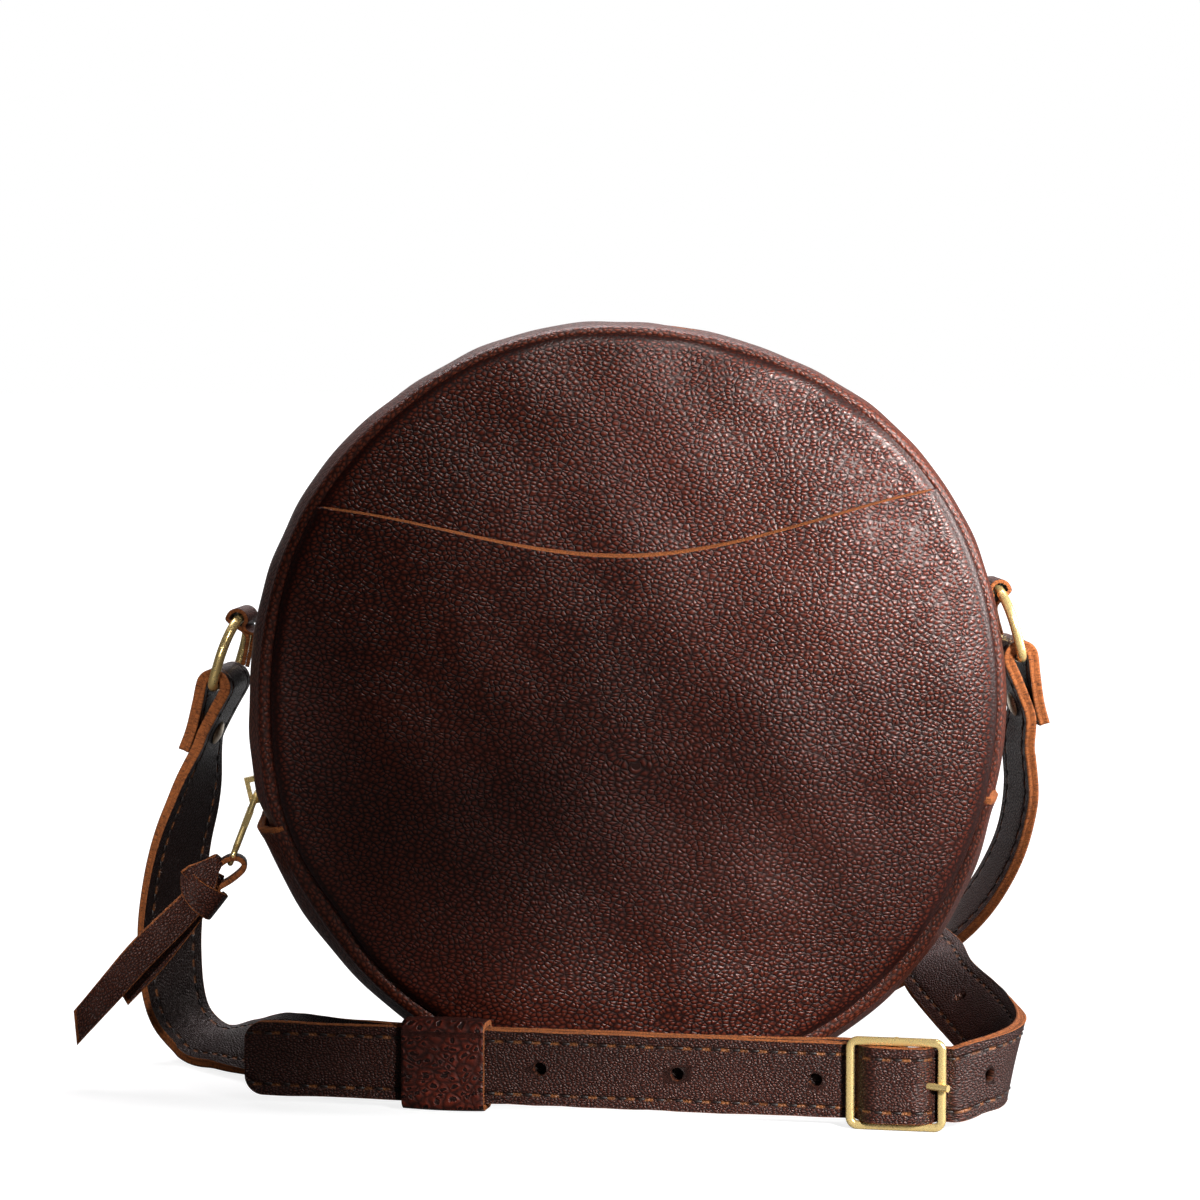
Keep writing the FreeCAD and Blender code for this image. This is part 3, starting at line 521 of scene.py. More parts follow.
# rays from a point under the mouth, out to the rim or to the mouth's edge, then back along the panel
def makePocket():
    cols, heart = 480, pocket["heart"]
    a = np.radians(np.linspace(0, 360, cols, endpoint=False))
    reach = np.full(cols, 60.0)
    for _ in range(60):  # distance to the rim along each ray
        x, z = reach * np.cos(a), heart + reach * np.sin(a)
        limit = seamRadius(np.degrees(np.arctan2(z, x)), -1)
        reach = reach + (limit - np.hypot(x, z)) * 0.7
    upward = np.sin(a) > 0.2
    climb = np.full(cols, 60.0)
    for _ in range(80):  # distance to the mouth's edge
        z = heart + climb * np.sin(a)
        climb = climb + np.where(upward, (mouth(climb * np.cos(a)) - z) * 0.6, 0)
    top = np.where(upward, climb, 200.0)
    ends = np.minimum(reach, top)
    free = ease(reach - top, 0.0, 3.0)  # 1 along the mouth
    shares = np.r_[np.linspace(0.012, 0.93, 70), np.linspace(0.94, 1.0, 24)]

    def at(share, lift, drop):  # points at a share of each ray, lifted off the panel
        d = share * (ends - drop * free)
        x, z = d * np.cos(a), heart + d * np.sin(a)
        theta = np.degrees(np.arctan2(z, x))
        radius = seamRadius(theta, -1)
        rho = np.clip(np.hypot(x, z) / radius, 0, 1)
        depth = domeDepth(rho, theta, radius, -1) + lift
        return columns(x, -depth, bagHeart[2] + z)

    thick, lift = pocket["leather"], pocket["lift"] * free
    outer = np.stack([at(s, thick + lift * ease(s, 0.85, 1.0), 0.95) for s in shares])
    bevel = np.stack([at(1.0, thick + lift - k * thick, 0.9 - 0.9 * k) for k in (0.06, 0.3, 0.6, 0.85)])
    inner = np.stack([at(s, 0.08, 0.0) for s in (1.0, 0.9, 0.6, 0.3, 0.05)])
    rows = np.concatenate([outer, bevel, inner])
    poles = np.stack([outer[0].mean(0), inner[-1].mean(0)])
    points = np.concatenate([rows.reshape(-1, 3), poles])
    step = np.linalg.norm(np.diff(rows, axis=0), axis=2)
    walked = np.concatenate([np.zeros((1, cols)), np.cumsum(step, 0)])
    taut = rim["taut"] * ease(shares, 0.93, 0.985)[:, None] * (1 - free)
    kind = np.concatenate([taut, np.zeros((len(rows) - len(outer), cols))])
    kind[len(outer):len(outer) + len(bevel) + 1] = free
    apart = 900  # the pocket's grain differs from the panel's
    lay = columns(walked * np.cos(a) + apart, walked * np.sin(a), kind).reshape(-1, 3)
    lay = np.vstack([lay, [[apart, 0, 0], [apart, 0, 0]]])
    piece = makePiece("frontPocket", points, discFaces(len(rows), cols), [panelLeather], lay)
    return belongs(piece, "bag", "panel_leather", "front_pocket")


makePocket()
print("panels and pocket made")

gussetCut = dict(slotHalf=6.0, slotRadius=99.2, thick=1.9, step=0.8, zipSpan=(-19.8, 203.8), zipMiddle=92,
                 zipWide=10.5, lowSpan=(197.5, 346.5), lowWide=12.0, innerLeast=92, layRadius=98, apart=1500)


# gusset strip: a closed profile of (radius, y, kind) for each angle, spun round the bag
def spunStrip(name, degrees, profileOf, cadNode, rawEnds=False):
    rows = np.stack([profileOf(d) for d in degrees])
    a = np.radians(degrees)[:, None]
    radius, y, kind = rows[..., 0], rows[..., 1], rows[..., 2]
    z = bagHeart[2] + radius * np.sin(a)
    z = np.where(z < 1.6, 0.03 + np.clip(z + 2.2, 0, 3.8) ** 2 / 9.2, z)  # the floor presses it flat
    points = columns(radius * np.cos(a), y, z)
    step = np.linalg.norm(np.diff(rows[..., :2], axis=1), axis=2)
    girth = np.concatenate([np.zeros((len(rows), 1)), np.cumsum(step, 1)], 1)
    lay = columns(a * gussetCut["layRadius"], girth.mean(0) + gussetCut["apart"], kind)
    if rawEnds:
        lay[[0, 1, -2, -1], :, 2] = 1
    piece = makePiece(name, points, barFaces(*radius.shape), [gussetLeather], lay.reshape(-1, 3))
    return belongs(piece, "bag", "panel_leather", cadNode)


# rolled edge: radius rises as a power of a sine from valley to ridge, then as a sine on to the crown
def rollUp(valley, ridge, crown, side, wide):
    t = np.linspace(0, 1, 14)
    r = valley + (ridge - valley) * np.sin(t * math.pi / 2) ** 0.85
    y = rim["seamHalf"] - 0.3 + 1.3 * np.sin(t * math.pi) - 2.4 * (1 - np.cos(t * math.pi / 2))
    over = np.linspace(0.08, 1, 16)
    r = np.r_[r, ridge + (crown - ridge) * np.sin(over * math.pi / 2)]
    return r, side * np.r_[y, y[-1] - wide * over]


# strip beside the zip: rolled edge, eased run to the slot, raw slot edge, then the inner face
def zipStripProfile(side):
    slot, wide = side * gussetCut["slotHalf"], gussetCut["zipWide"]

    def profile(d):
        seam = float(seamRadius(np.array(d), side))
        crown = rim["crownBack"]
        if side < 0:
            crown = float(roundTheBag(*rim["crownZip"], np.array(d)))
        away = abs((d - gussetCut["zipMiddle"] + 180) % 360 - 180)
        crown = crown - 1.2 * float(ease(away, 100.0, 108.0))  # its ends go under the lower gusset
        turn = math.radians(d)
        crinkle = 0.16 * math.sin(turn * 23) * math.sin(turn * 7.3 + 1) + 0.07 * math.sin(turn * 41 + 2)
        ridge = seam + max(1.6, 0.62 * (crown - seam)) + 0.3 * crinkle
        r, y = rollUp(seam - rim["valley"], ridge, max(crown, ridge + 0.3) + crinkle, side, wide)
        t = np.linspace(0.15, 1, 8)
        r = np.r_[r, r[-1] + (gussetCut["slotRadius"] - r[-1]) * ease(t, 0, 1)]
        y = np.r_[y, y[-1] + (slot - y[-1]) * t]
        edge = np.array([[r[-1] - 0.25, slot - side * 0.25, 1], [r[-1] - 1.5, slot - side * 0.2, 1]])
        under = columns(r[::-3] - gussetCut["thick"], y[::-3] - side * 0.2, 0)
        under[-1, 0] = r[0] - 1.0
        return np.vstack([columns(r, y, 0), edge, under])
    return profile


# lower strip: rolled edges at both seams, eased together over the crown, then the inner face
def lowProfile(d):
    seam, seamRear = (float(seamRadius(np.array(d), side)) for side in (-1, 1))
    end = min(abs(d - limit) for limit in gussetCut["lowSpan"])
    crown = float(roundTheBag(*rim["crownLow"], np.array(d))) + 0.7 * math.exp(-(end / 1.6) ** 2)
    turn = math.radians(d)
    ripple = 0.22 * math.sin(turn * 11) + 0.12 * math.sin(turn * 29 + 1)
    ridge, wide = seam + max(2.4, 0.55 * (crown - seam)), gussetCut["lowWide"]
    r, y = rollUp(seam - rim["valley"], ridge, crown + ripple, -1, wide)
    rRear, yRear = rollUp(seamRear - rim["valley"], seamRear + 3.6, rim["lowCrownBack"], 1, wide)
    t = np.linspace(0.1, 0.9, 8)
    r = np.r_[r, r[-1] + (rRear[-1] - r[-1]) * ease(t, 0, 1), rRear[::-1]]
    y = np.r_[y, y[-1] + (yRear[-1] - y[-1]) * t, yRear[::-1]]
    inner = np.maximum(r[::-4] - gussetCut["thick"], gussetCut["innerLeast"])
    under = columns(inner, y[::-4] * 0.985, 0)
    return np.vstack([columns(r, y, 0), under])


zipAngles = np.arange(gussetCut["zipSpan"][0], gussetCut["zipSpan"][1] + 0.01, gussetCut["step"])
lowStart, lowEnd = gussetCut["lowSpan"]
lowAngles = np.r_[lowStart, np.arange(lowStart + 0.3, lowEnd - 0.2, gussetCut["step"]), lowEnd]
spunStrip("zipGussetFront", zipAngles, zipStripProfile(-1), "zip_gusset_front")
spunStrip("zipGussetRear", zipAngles, zipStripProfile(1), "zip_gusset_rear")
spunStrip("lowerGusset", lowAngles, lowProfile, "lower_gusset", True)
print("gussets made")

# zip: two woven tapes and two rows of coil turns
zipRow = dict(radius=97.15, pitch=1.45, span=(-14.0, 197.5), rings=7, sides=6, rearShift=0.43,
              tapeRadius=96.7, tapeSpan=(-19.5, 203.6), tapeThick=0.3, layRadius=97)


# flat band: a closed section of (y, lift) carried round the bag
def makeTape(word, side):
    degrees = np.arange(*zipRow["tapeSpan"], 1.0)
    y = np.array([0.55, 0.7, 2.0, 4.0, 6.4, 6.5, 6.4, 4.0, 2.0, 0.7]) * side
    lift = np.array([0, 1, 1, 1, 1, 0, -1, -1, -1, -1]) * zipRow["tapeThick"]
    a = np.radians(degrees)[:, None]
    r = zipRow["tapeRadius"] + lift
    points = columns(r * np.cos(a), y, bagHeart[2] + r * np.sin(a))
    lay = columns(a * zipRow["layRadius"], y, 0).reshape(-1, 3)
    piece = makePiece("zipTape" + word.title(), points, barFaces(len(degrees), len(y)), [tapeCloth], lay)
    return belongs(piece, "bag", "zip_tape", "zip_tape_" + word)


# each turn is a wire bent over the tape in a flattened arch: y goes as a cosine, the lift as a sine
def makeCoil(word, side):
    radius, (first, last) = zipRow["radius"], zipRow["span"]
    count = int(math.radians(last - first) * radius / zipRow["pitch"])
    centre = np.radians(np.linspace(first, last, count) + (zipRow["rearShift"] if side > 0 else 0))
    t = np.linspace(0, math.pi, zipRow["rings"])[:, None]
    s = circle(zipRow["sides"])[None, :]
    thick = np.where((t < 0.2) | (t > 2.9), 0.22, 0.46)
    r = radius + (0.2 + 0.85 * np.sin(t)) + thick * np.sin(s)
    y = side * (1.25 + 1.75 * np.cos(t))
    turn = centre[:, None, None] + thick * np.cos(s) / radius
    points = columns(r * np.cos(turn), y, bagHeart[2] + r * np.sin(turn))
    piece = makePiece("zipCoil" + word.title(), points, manyBars(count, *r.shape), [coil])
    return belongs(piece, "bag", "zip_chain", "zip_chain_" + word)


for word, side in (("front", -1), ("rear", 1)):
    makeTape(word, side)
    makeCoil(word, side)
print("zip made")

# strap routes: the same stations as the construction
ring = dict(
    left=dict(bar=(-106.64656, 20.41762, 103.28993), along=(0.25881905, 0.96592583, 0), side=-1,
              drop=(-0.34, 0.12, -0.93), top=(-101.35594, 19.0, 121.27436), angle=168.2),
    right=dict(bar=(103.83101, 19.67103, 109.95893), along=(-0.1391731, 0.99026807, 0), side=1,
               drop=(0.25, 0.13, -0.96), top=(99.05636, 19.0, 128.13013), angle=15.8),
    foldRadius=3.3, closed=1.6, flap=19.0, rivet=13.0, cap=3.3)
band = dict(half=9.5, thick=1.5, tip=5.0, stitchIn=2.75, stitchPitch=4.9, floorGap=1.2, steps=8, hole=1.7)
buckle = dict(centre=np.array([64.6, -70.5, 11.9]), turn=math.radians(14.5),
              length=25.4, height=23.6, wire=2.1, frameLevel=4.25, barLevel=2.05,
              strapLevel=-1.55, billetLevel=1.55, hump=6.4, wrap=1.25)
runAlong = np.array([math.cos(buckle["turn"]), -math.sin(buckle["turn"]), 0])
runFront = np.array([runAlong[1], -runAlong[0], 0])
keeper = dict(place=117.03, length=21.6, wall=1.8, gap=0.3)
halfTurn = [math.radians(30 * step) for step in range(7)]


# station s along the front run and q out from it
def onRun(s, q):
    return buckle["centre"] + runAlong * s + runFront * q, up


# points at s along the front run, q out from it and z up
def runPoints(s, q, z):
    return buckle["centre"] + runAlong * s[..., None] + runFront * q[..., None] + up * z[..., None]


# station whose lower edge lies the floor gap above the floor
def onFloor(x, y, width):
    w = unit(np.array(width, float))
    lean = math.sqrt(1 - w[2] ** 2)
    return np.array([x, y, band["half"] * w[2] + band["thick"] * lean + band["floorGap"]]), w


# strap end folded round a ring's bar: flap outside, half a turn over the bar, then down inside
class Fold:
    def __init__(self, place):
        self.bar, self.along = np.array(place["bar"]), np.array(place["along"])
        drop = np.array(place["drop"])
        self.down = unit(drop - self.along * (drop @ self.along))
        self.inward = unit(np.cross(self.down, self.along)) * -place["side"]

    def at(self, depth, offset):
        return self.bar + self.down * depth + self.inward * offset, self.along

    def stations(self):
        closed, radius, near = ring["closed"], ring["foldRadius"], ring["rivet"] * 0.4
        nearOffset = (radius + closed) / 2 + 0.1
        path = [self.at(ring["flap"], -closed), self.at(ring["rivet"], -closed), self.at(near, -nearOffset)]
        path += [self.at(-radius * math.sin(a), -radius * math.cos(a)) for a in halfTurn]
        return path + [self.at(near, nearOffset), self.at(ring["rivet"], closed),
                       self.at(ring["rivet"] + ring["cap"], closed)]


foldLeft, foldRight = Fold(ring["left"]), Fold(ring["right"])
sideBar = (buckle["length"] - buckle["wire"]) / 2
barEdge = sideBar - buckle["wire"] / 2


# left ring, down to the floor, forward to the front run, round the buckle's bar and back a little
def buckleStrapRoute():
    side, fall = -99.0, ring["left"]["bar"][2]
    drop = [((side - 15.5, 23.0, 0.71 * fall), (0.60, 0.80, 0)),
            ((side - 19.8, 28.0, 0.555 * fall), (0.74, 0.67, -0.05)),
            ((side - 22.6, 33.5, 0.37 * fall), (0.80, 0.60, -0.05)),
            ((side - 22.6, 36.5, 0.215 * fall), (0.76, 0.64, 0)),
            ((side - 20.0, 36.5, 0.105 * fall), (0.70, 0.70, 0.12)),
            onFloor(side - 13.5, 31.5, (0.56, 0.78, 0.24)), onFloor(side - 4.5, 18.0, (0.48, 0.70, 0.40)),
            onFloor(side + 4.5, 3.0, (0.48, 0.42, 0.66)), onFloor(side + 13.0, -12.0, (0.38, 0.22, 0.88)),
            ((side + 24.0, -25.0, 11.07), (0.14, 0.08, 0.98))]
    low, start = buckle["strapLevel"], -keeper["place"] - keeper["length"] / 2
    run = [(start - 4.0, low - 0.6), (start, low - 0.12), (start + 4.0, low), (start + 8.0, low)]
    run += [(-51.6, low), (-30.0, low), (-sideBar - 4.2, low)]
    wrap, level = buckle["wrap"], buckle["barLevel"]
    rise = level + wrap - low
    run += [(inset - barEdge, low + rise * share)
            for inset, share in ((-1.9, -0.04), (1.8, 0.03), (5.7, 0.60))]
    run += [(wrap * math.sin(a), level + wrap * math.cos(a)) for a in halfTurn]
    back = 2 * low - 0.05
    run += [(-sideBar * 0.45, (level - wrap + back) / 2), (-sideBar - 1.05, back), (-30.0, back)]
    return foldLeft.stations() + drop + [onRun(s, q) for s, q in run]


# right ring, down behind the bag, a curl on the floor, home along the side, over the buckle and to the tip
def billetRoute():
    side, fall = 99.0, ring["right"]["bar"][2]
    drop = [((side + 7.2, 22.5, 0.78 * fall), (-0.20, 0.97, 0)),
            ((side + 8.3, 26.5, 0.655 * fall), (-0.22, 0.95, 0.10)),
            ((side + 6.2, 32.5, 0.52 * fall), (-0.12, 0.92, 0.30)),
            ((side + 0.6, 41.5, 0.39 * fall), (0.06, 0.84, 0.52)),
            ((side - 7.5, 53.0, 0.275 * fall), (0.30, 0.75, 0.55)),
            ((side - 18.0, 70.0, 0.14 * fall), (0.62, 0.68, 0.36))]
    foot, heading, radius = np.array([64.0, 93.0, 2.7]), np.array([-0.6, 0.8, 0]), 23
    curl = [(foot + heading * radius * math.sin(a) + up * radius * (1 - math.cos(a)), (0.8, 0.6, 0))
            for a in halfTurn]
    back, front = 27.0, buckle["centre"][1]
    home = [((side - 37.5, back + 41, 44), (0.80, 0.55, 0.10)),
            ((side - 28, back + 19, 35.5), (0.78, 0.50, 0.20)),
            ((side - 17.5, back - 2, 28.8), (0.80, 0.45, 0.32)), ((side - 15, 7, 24.6), (0.80, 0.38, 0.42)),
            ((side - 10, -12, 20.3), (0.74, 0.30, 0.56)),
            ((side - 6, front + 38.5, 17.2), (0.58, 0.18, 0.79)),
            ((side - 4, front + 23.5, 15.6), (0.36, 0.08, 0.93)),
            ((side - 4.8, front + 12.5, 14.6), (0.20, 0.02, 0.98)),
            ((side - 9, front + 3, 13.9), (0.08, 0, 1)), ((side - 15.5, front - 3, 13.2), (0.03, 0, 1))]
    low, rise = buckle["billetLevel"], buckle["hump"] - buckle["billetLevel"]
    over = [(sideBar + 3.15, low), (sideBar + 1.05, low)]
    over += [(barEdge - inset, low + rise * share)
             for inset, share in ((0.6, 0.01), (2.0, 0.275), (3.2, 0.66), (5.1, 0.93), (7.6, 0.99))]
    run = over + [(0, buckle["hump"])] + [(-s, q) for s, q in over[::-1]]
    run += [(-s, low) for s in (30.0, 60.0, 90.0, 117.0, 140.0, 158.0)]
    run += [(band["tip"] * k - 170.0, low) for k in (1.1, 0.8, 0.5, 0.25, 0.1, 0.02)]
    return foldRight.stations() + drop + curl + home + [onRun(s, q) for s, q in run]


# strap section: both faces slightly full, a sunk furrow at each stitch row, raw edges with the glue line
def strapSection():
    half, thick, line = band["half"], band["thick"], band["half"] - band["stitchIn"]
    a = np.r_[half - 0.18, half - 0.9, line + 0.55, line + 0.25, line - 0.25, line - 0.55]
    a = np.r_[a, np.linspace(line - 1.8, 1.8 - line, 9), -a[::-1]]
    full = 0.16 * (1 - (a / half) ** 4) - 0.16
    sink = -0.28 * np.exp(-((np.abs(a) - line) / 0.34) ** 2)
    top = columns(a, thick + full + sink, 0)
    b = np.array([0.72, 0.4, 0.07, -0.07, -0.4, -0.72]) * 2 * thick / 1.5
    notch = np.where(np.abs(b) < 0.3, 0.32, 0.0)
    edge = columns(notch - half, b, 1)
    return np.vstack([top, edge, top[::-1] * [1, -1, 1], edge[::-1] * [-1, 1, 1]])


# one stitch: a capsule of thread whose ends dip into the leather
stitch = dict(length=2.5, radius=0.36, sides=6, sunk=0.22, nearTip=12.0,
              place=np.array([-1, -0.9, -0.6, -0.2, 0.2, 0.6, 0.9, 1.0]),
              girth=np.array([0.25, 0.75, 1.0, 1.0, 1.0, 1.0, 0.75, 0.25]),
              dip=np.array([-0.55, -0.35, -0.05, 0.08, 0.08, -0.05, -0.35, -0.55]))


# stitches at equal steps along both rows of both faces, drawn in a little near the strap's end
def threadRows(path, frames, start, end):
    walked = frames[3]
    s = np.arange(start, end, band["stitchPitch"]) + 0.5 * band["stitchPitch"]
    middle = lookUp(s, walked, path)
    along, across, face = (unit(lookUp(s, walked, v)) for v in frames[:3])
    line = (band["half"] - band["stitchIn"]) * np.where(s > walked[-1] - stitch["nearTip"], 0.96, 1.0)
    a = circle(stitch["sides"])[:, None]
    spokes = across[:, None, None] * np.cos(a) + face[:, None, None] * np.sin(a)
    spokes = spokes * (stitch["girth"] * stitch["radius"])[:, None, None]
    reach = along[:, None] * (stitch["place"] * stitch["length"] / 2)[:, None]
    rows, level = [], band["thick"] - stitch["sunk"]
    for sideRow in (-1, 1):
        for sideFace in (-1, 1):
            base = middle + across * (sideRow * line)[:, None] + face * (sideFace * level)
            spine = base[:, None] + reach + face[:, None] * (sideFace * stitch["dip"])[:, None]
            rows.append((spine[:, :, None] + spokes).reshape(-1, 3))
    return np.concatenate(rows), manyBars(4 * len(s), len(stitch["dip"]), stitch["sides"])


# strap along its route: edges waver a little, the tip's corners are rounded, one face is laid far along
def makeStrap(name, finish, route, stitched, tip, holes):
    path, width = smoothPath(route, band["steps"])
    frames = framesOf(path, width)
    along, across, face, walked = frames
    section = strapSection()
    half = np.ones(len(path))
    if tip:
        k = np.clip(tip - (walked[-1] - walked), 0, tip)
        half = (band["half"] - tip + np.sqrt(tip ** 2 - k ** 2)) / band["half"]
    wobble = 1 + 0.012 * lumps(walked[:, None], 60.0, 5) + 0.006 * lumps(walked[:, None], 17.0, 6)
    points, lay = sweep(path, frames, section, half * wobble)
    lay[..., 0] += np.where(section[:, 1] > 0, 0.0, 300.0) * band["stitchPitch"]
    faces = barFaces(*points.shape[:2])
    piece = makePiece(name + "Body", points, faces, [finish, thread], lay.reshape(-1, 3))
    if holes:
        s = walked[-1] - np.array(holes)
        punch(piece, lookUp(s, walked, path), *(unit(lookUp(s, walked, v)) for v in (face, across, along)))
        relay(piece, path, across, walked)
    threads, threadFaces = threadRows(path, frames, stitched[0], walked[-1] - stitched[1])
    sewn = makePiece(name + "Thread", threads, threadFaces, [thread], np.zeros((len(threads), 3)))
    return joinPieces(name, [piece, sewn]), walked[-1]


# round holes cut through a strap by a boolean with short 24-sided pegs
def punch(piece, middle, out, across, along):
    sides, deep = 24, out[:, None] * 4
    a = circle(sides)[:, None]
    rings = middle[:, None] + (across[:, None] * np.cos(a) + along[:, None] * np.sin(a)) * band["hole"]
    points = np.stack([rings - deep, rings + deep], 1).reshape(-1, 3)
    lay = np.tile([0.0, 0.0, 0.3], (len(points), 1))
    peg = makePiece("peg", points, manyBars(len(middle), 2, sides), [strapLeather], lay)
    cut = piece.modifiers.new("holes", "BOOLEAN")
    cut.operation, cut.object, cut.solver = "DIFFERENCE", peg, "MANIFOLD"
    shown = bpy.context.evaluated_depsgraph_get()
    cutPiece = piece.evaluated_get(shown)
    mesh = bpy.data.meshes.new_from_object(cutPiece, preserve_all_data_layers=True, depsgraph=shown)
    piece.modifiers.clear()
    piece.data = mesh
    bpy.data.objects.remove(peg)


# points new at a hole's rim take their lay from the nearest step of the strap's path, partly raw
def relay(piece, path, across, walked):
    mesh, held = piece.data, piece.data.attributes["lay"]
    count = len(mesh.vertices)
    where, lay = np.empty(count * 3), np.empty(count * 3, np.float32)
    mesh.vertices.foreach_get("co", where)
    held.data.foreach_get("vector", lay)
    where, lay = where.reshape(-1, 3) / mm, lay.reshape(-1, 3)
    new = np.flatnonzero(np.abs(lay).sum(1) == 0)
    close = np.linalg.norm(where[new][:, None] - path[None], axis=2).argmin(1)
    side = ((where[new] - path[close]) * across[close]).sum(1)
    lay[new] = columns(walked[close], side, 0.40)
    held.data.foreach_set("vector", lay.ravel())


# the pieces become one mesh, which takes the name
def joinPieces(name, pieces):
    bpy.ops.object.select_all(action="DESELECT")
    for p in pieces:
        p.select_set(True)
    bpy.context.view_layer.objects.active = pieces[0]
    bpy.ops.object.join()
    pieces[0].name = name
    pieces[0].data.name = name
    return pieces[0]


# stitching starts and stops at lengths in from the two ends; holes lie at lengths back from the tip
buckleStrap, buckleLength = makeStrap("buckleStrap", buckleStrapLeather, buckleStrapRoute(),
                                      (24.0, 32.0), 0.0, ())
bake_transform(buckleStrap)
belongs(buckleStrap, None, "strap_leather", "buckle_strap_face", "buckle_strap_lining")
billetStrap, billetLength = makeStrap("billetStrap", strapLeather, billetRoute(),
                                      (24.0, 3.2), band["tip"], (78.0, 113.6, 149.2, 198.3, 265.0))
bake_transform(billetStrap)
belongs(billetStrap, None, "strap_leather", "billet_face", "billet_lining")
print("straps made:", round(buckleLength), "and", round(billetLength), "mm")

# rivet: half a lathe profile of (radius, height), from the cap's top to the shank
rivet = dict(sides=40, lift=0.65, half=[(0.0, 3.75), (1.0, 3.7), (2.0, 3.5), (2.8, 3.2), (3.2, 2.95),
                                        (3.3, 2.75), (3.2, 2.6), (1.2, 2.55), (1.15, 1.0)])


# the half profile and its mirror, spun about the axis through the fold
def makeRivet(name, fold, body, cadNode):
    cap = np.array(rivet["half"]) + [0, rivet["lift"]]
    profile = np.vstack([cap, cap[::-1] * [1, -1]])
    a = circle(rivet["sides"])[:, None]
    middle = fold.at(ring["rivet"], 0)[0]
    spokes = fold.along * np.cos(a) + fold.down * np.sin(a)
    between = profile[1:-1, None]
    rows = middle + spokes * between[..., :1] + fold.inward * between[..., 1:]
    poles = np.stack([middle + fold.inward * profile[k, 1] for k in (0, -1)])
    points = np.concatenate([rows.reshape(-1, 3), poles])
    piece = makePiece(name, points, discFaces(len(rows), rivet["sides"]), [rivetBrass])
    return belongs(piece, body, "rivet", cadNode)


makeRivet("rivetLeft", foldLeft, "ring_left", "strap_rivet_left")
makeRivet("rivetRight", foldRight, "ring_right", "strap_rivet_right")
tab = dict(half=5.0, thick=0.55, y=19.0, seat=99.1, bend=2.55)


# ring tab: a narrow strip up from the gusset, round the ring's wire and back down
def makeTab(name, place, cadNode):
    turn, flat = math.radians(place["angle"]), np.array([0, 1.0, 0])
    out = np.array([math.cos(turn), 0, math.sin(turn)])
    seat = bagHeart + flat * tab["y"] + out * tab["seat"]
    down = np.cross(flat, out) * place["side"]
    along, top = np.array(place["along"]), np.array(place["top"])
    rise = unit(top - np.array(place["bar"]))
    middle = top - rise * 0.6
    sideways = np.cross(along, rise)
    sideways = unit(sideways) * np.sign(sideways @ out)
    route = [(seat + out * high + down * low, flat) for high, low in ((0.6, 12.5), (0.6, 7), (0.7, 3.5))]
    for a in np.radians(200 - 27 * np.arange(9)):
        route.append((middle + (sideways * math.cos(a) + rise * math.sin(a)) * tab["bend"], along))
    route += [(seat + out * high + down * low, flat) for high, low in ((2.4, 4.2), (1.8, 7.5), (1.75, 12.2))]
    path, width = smoothPath(route, 6)
    half, thick = tab["half"], tab["thick"]
    section = np.array([[half - 0.1, thick, 0], [half - 0.6, thick, 0], [0, thick, 0], [0.6 - half, thick, 0],
                        [0.1 - half, thick, 0], [-half, thick - 0.15, 1], [-half, 0.15 - thick, 1]])
    section = np.vstack([section, section * [-1, -1, 1]])
    points, lay = sweep(path, framesOf(path, width), section, np.ones(len(path)))
    piece = makePiece(name, points, barFaces(*points.shape[:2]), [laceLeather], lay.reshape(-1, 3))
    return belongs(piece, "bag", "strap_leather", cadNode)


makeTab("ringTabLeft", ring["left"], "ring_tab_left")
makeTab("ringTabRight", ring["right"], "ring_tab_right")


# quarter circles at the four corners of a rectangle, counter-clockwise
def cornerArcs(halfWide, halfHigh, corner, count):
    arcs = []
    for signX, signZ, start in ((1, 1, 0), (-1, 1, 90), (-1, -1, 180), (1, -1, 270)):
        a = np.radians(start + np.linspace(0, 90, count))
        arcs.append(columns(signX * (halfWide - corner) + corner * np.cos(a),
                            signZ * (halfHigh - corner) + corner * np.sin(a)))
    return arcs


# outward normals of a counter-clockwise loop: the step between a point's neighbours, turned a quarter
def outward(loop):
    step = unit(np.roll(loop, -1, 0) - np.roll(loop, 1, 0))
    return columns(step[:, 1], -step[:, 0])


# cosine or sine drawn out to the given power, its sign kept
def squared(wave, power=0.55):
    return np.sign(wave) * np.abs(wave) ** power


# buckle: rounded square wire round a rectangle with eased corners, and its round centre bar
def makeBuckle():
    wire, level, barSides = buckle["wire"], buckle["frameLevel"], 14
    high = (buckle["height"] - wire) / 2
    loop = np.concatenate(cornerArcs(sideBar, high, 1.9, 9))
    loop = np.stack([loop, (loop + np.roll(loop, -1, 0)) / 2], 1).reshape(-1, 2)
    out = outward(loop)
    a = circle(20)
    aside, front = squared(np.cos(a)) * wire / 2, squared(np.sin(a)) * wire / 2
    s, z = (loop[:, None, k] + out[:, None, k] * aside for k in (0, 1))
    points = runPoints(s, level + front, z).reshape(-1, 3)
    barZ = np.r_[-high - 0.2, np.linspace(-high + 0.6, high - 0.6, 12), high + 0.2]
    barOut = np.r_[level - 0.4, np.full(12, buckle["barLevel"]), level - 0.4]
    spine = runPoints(0 * barZ, barOut, barZ)
    _, across, face, _ = framesOf(spine, np.tile(runAlong, (len(spine), 1)))
    a = circle(barSides)[:, None]
    rod = spine[:, None] + (across[:, None] * np.cos(a) + face[:, None] * np.sin(a)) * wire / 2
    faces = gridQuads(*s.shape, True, True).tolist() + barFaces(len(spine), barSides, len(points))
    piece = makePiece("buckleFrame", np.concatenate([points, rod.reshape(-1, 3)]), faces, [brass])
    return belongs(piece, "bag", "brass", "buckle_frame")


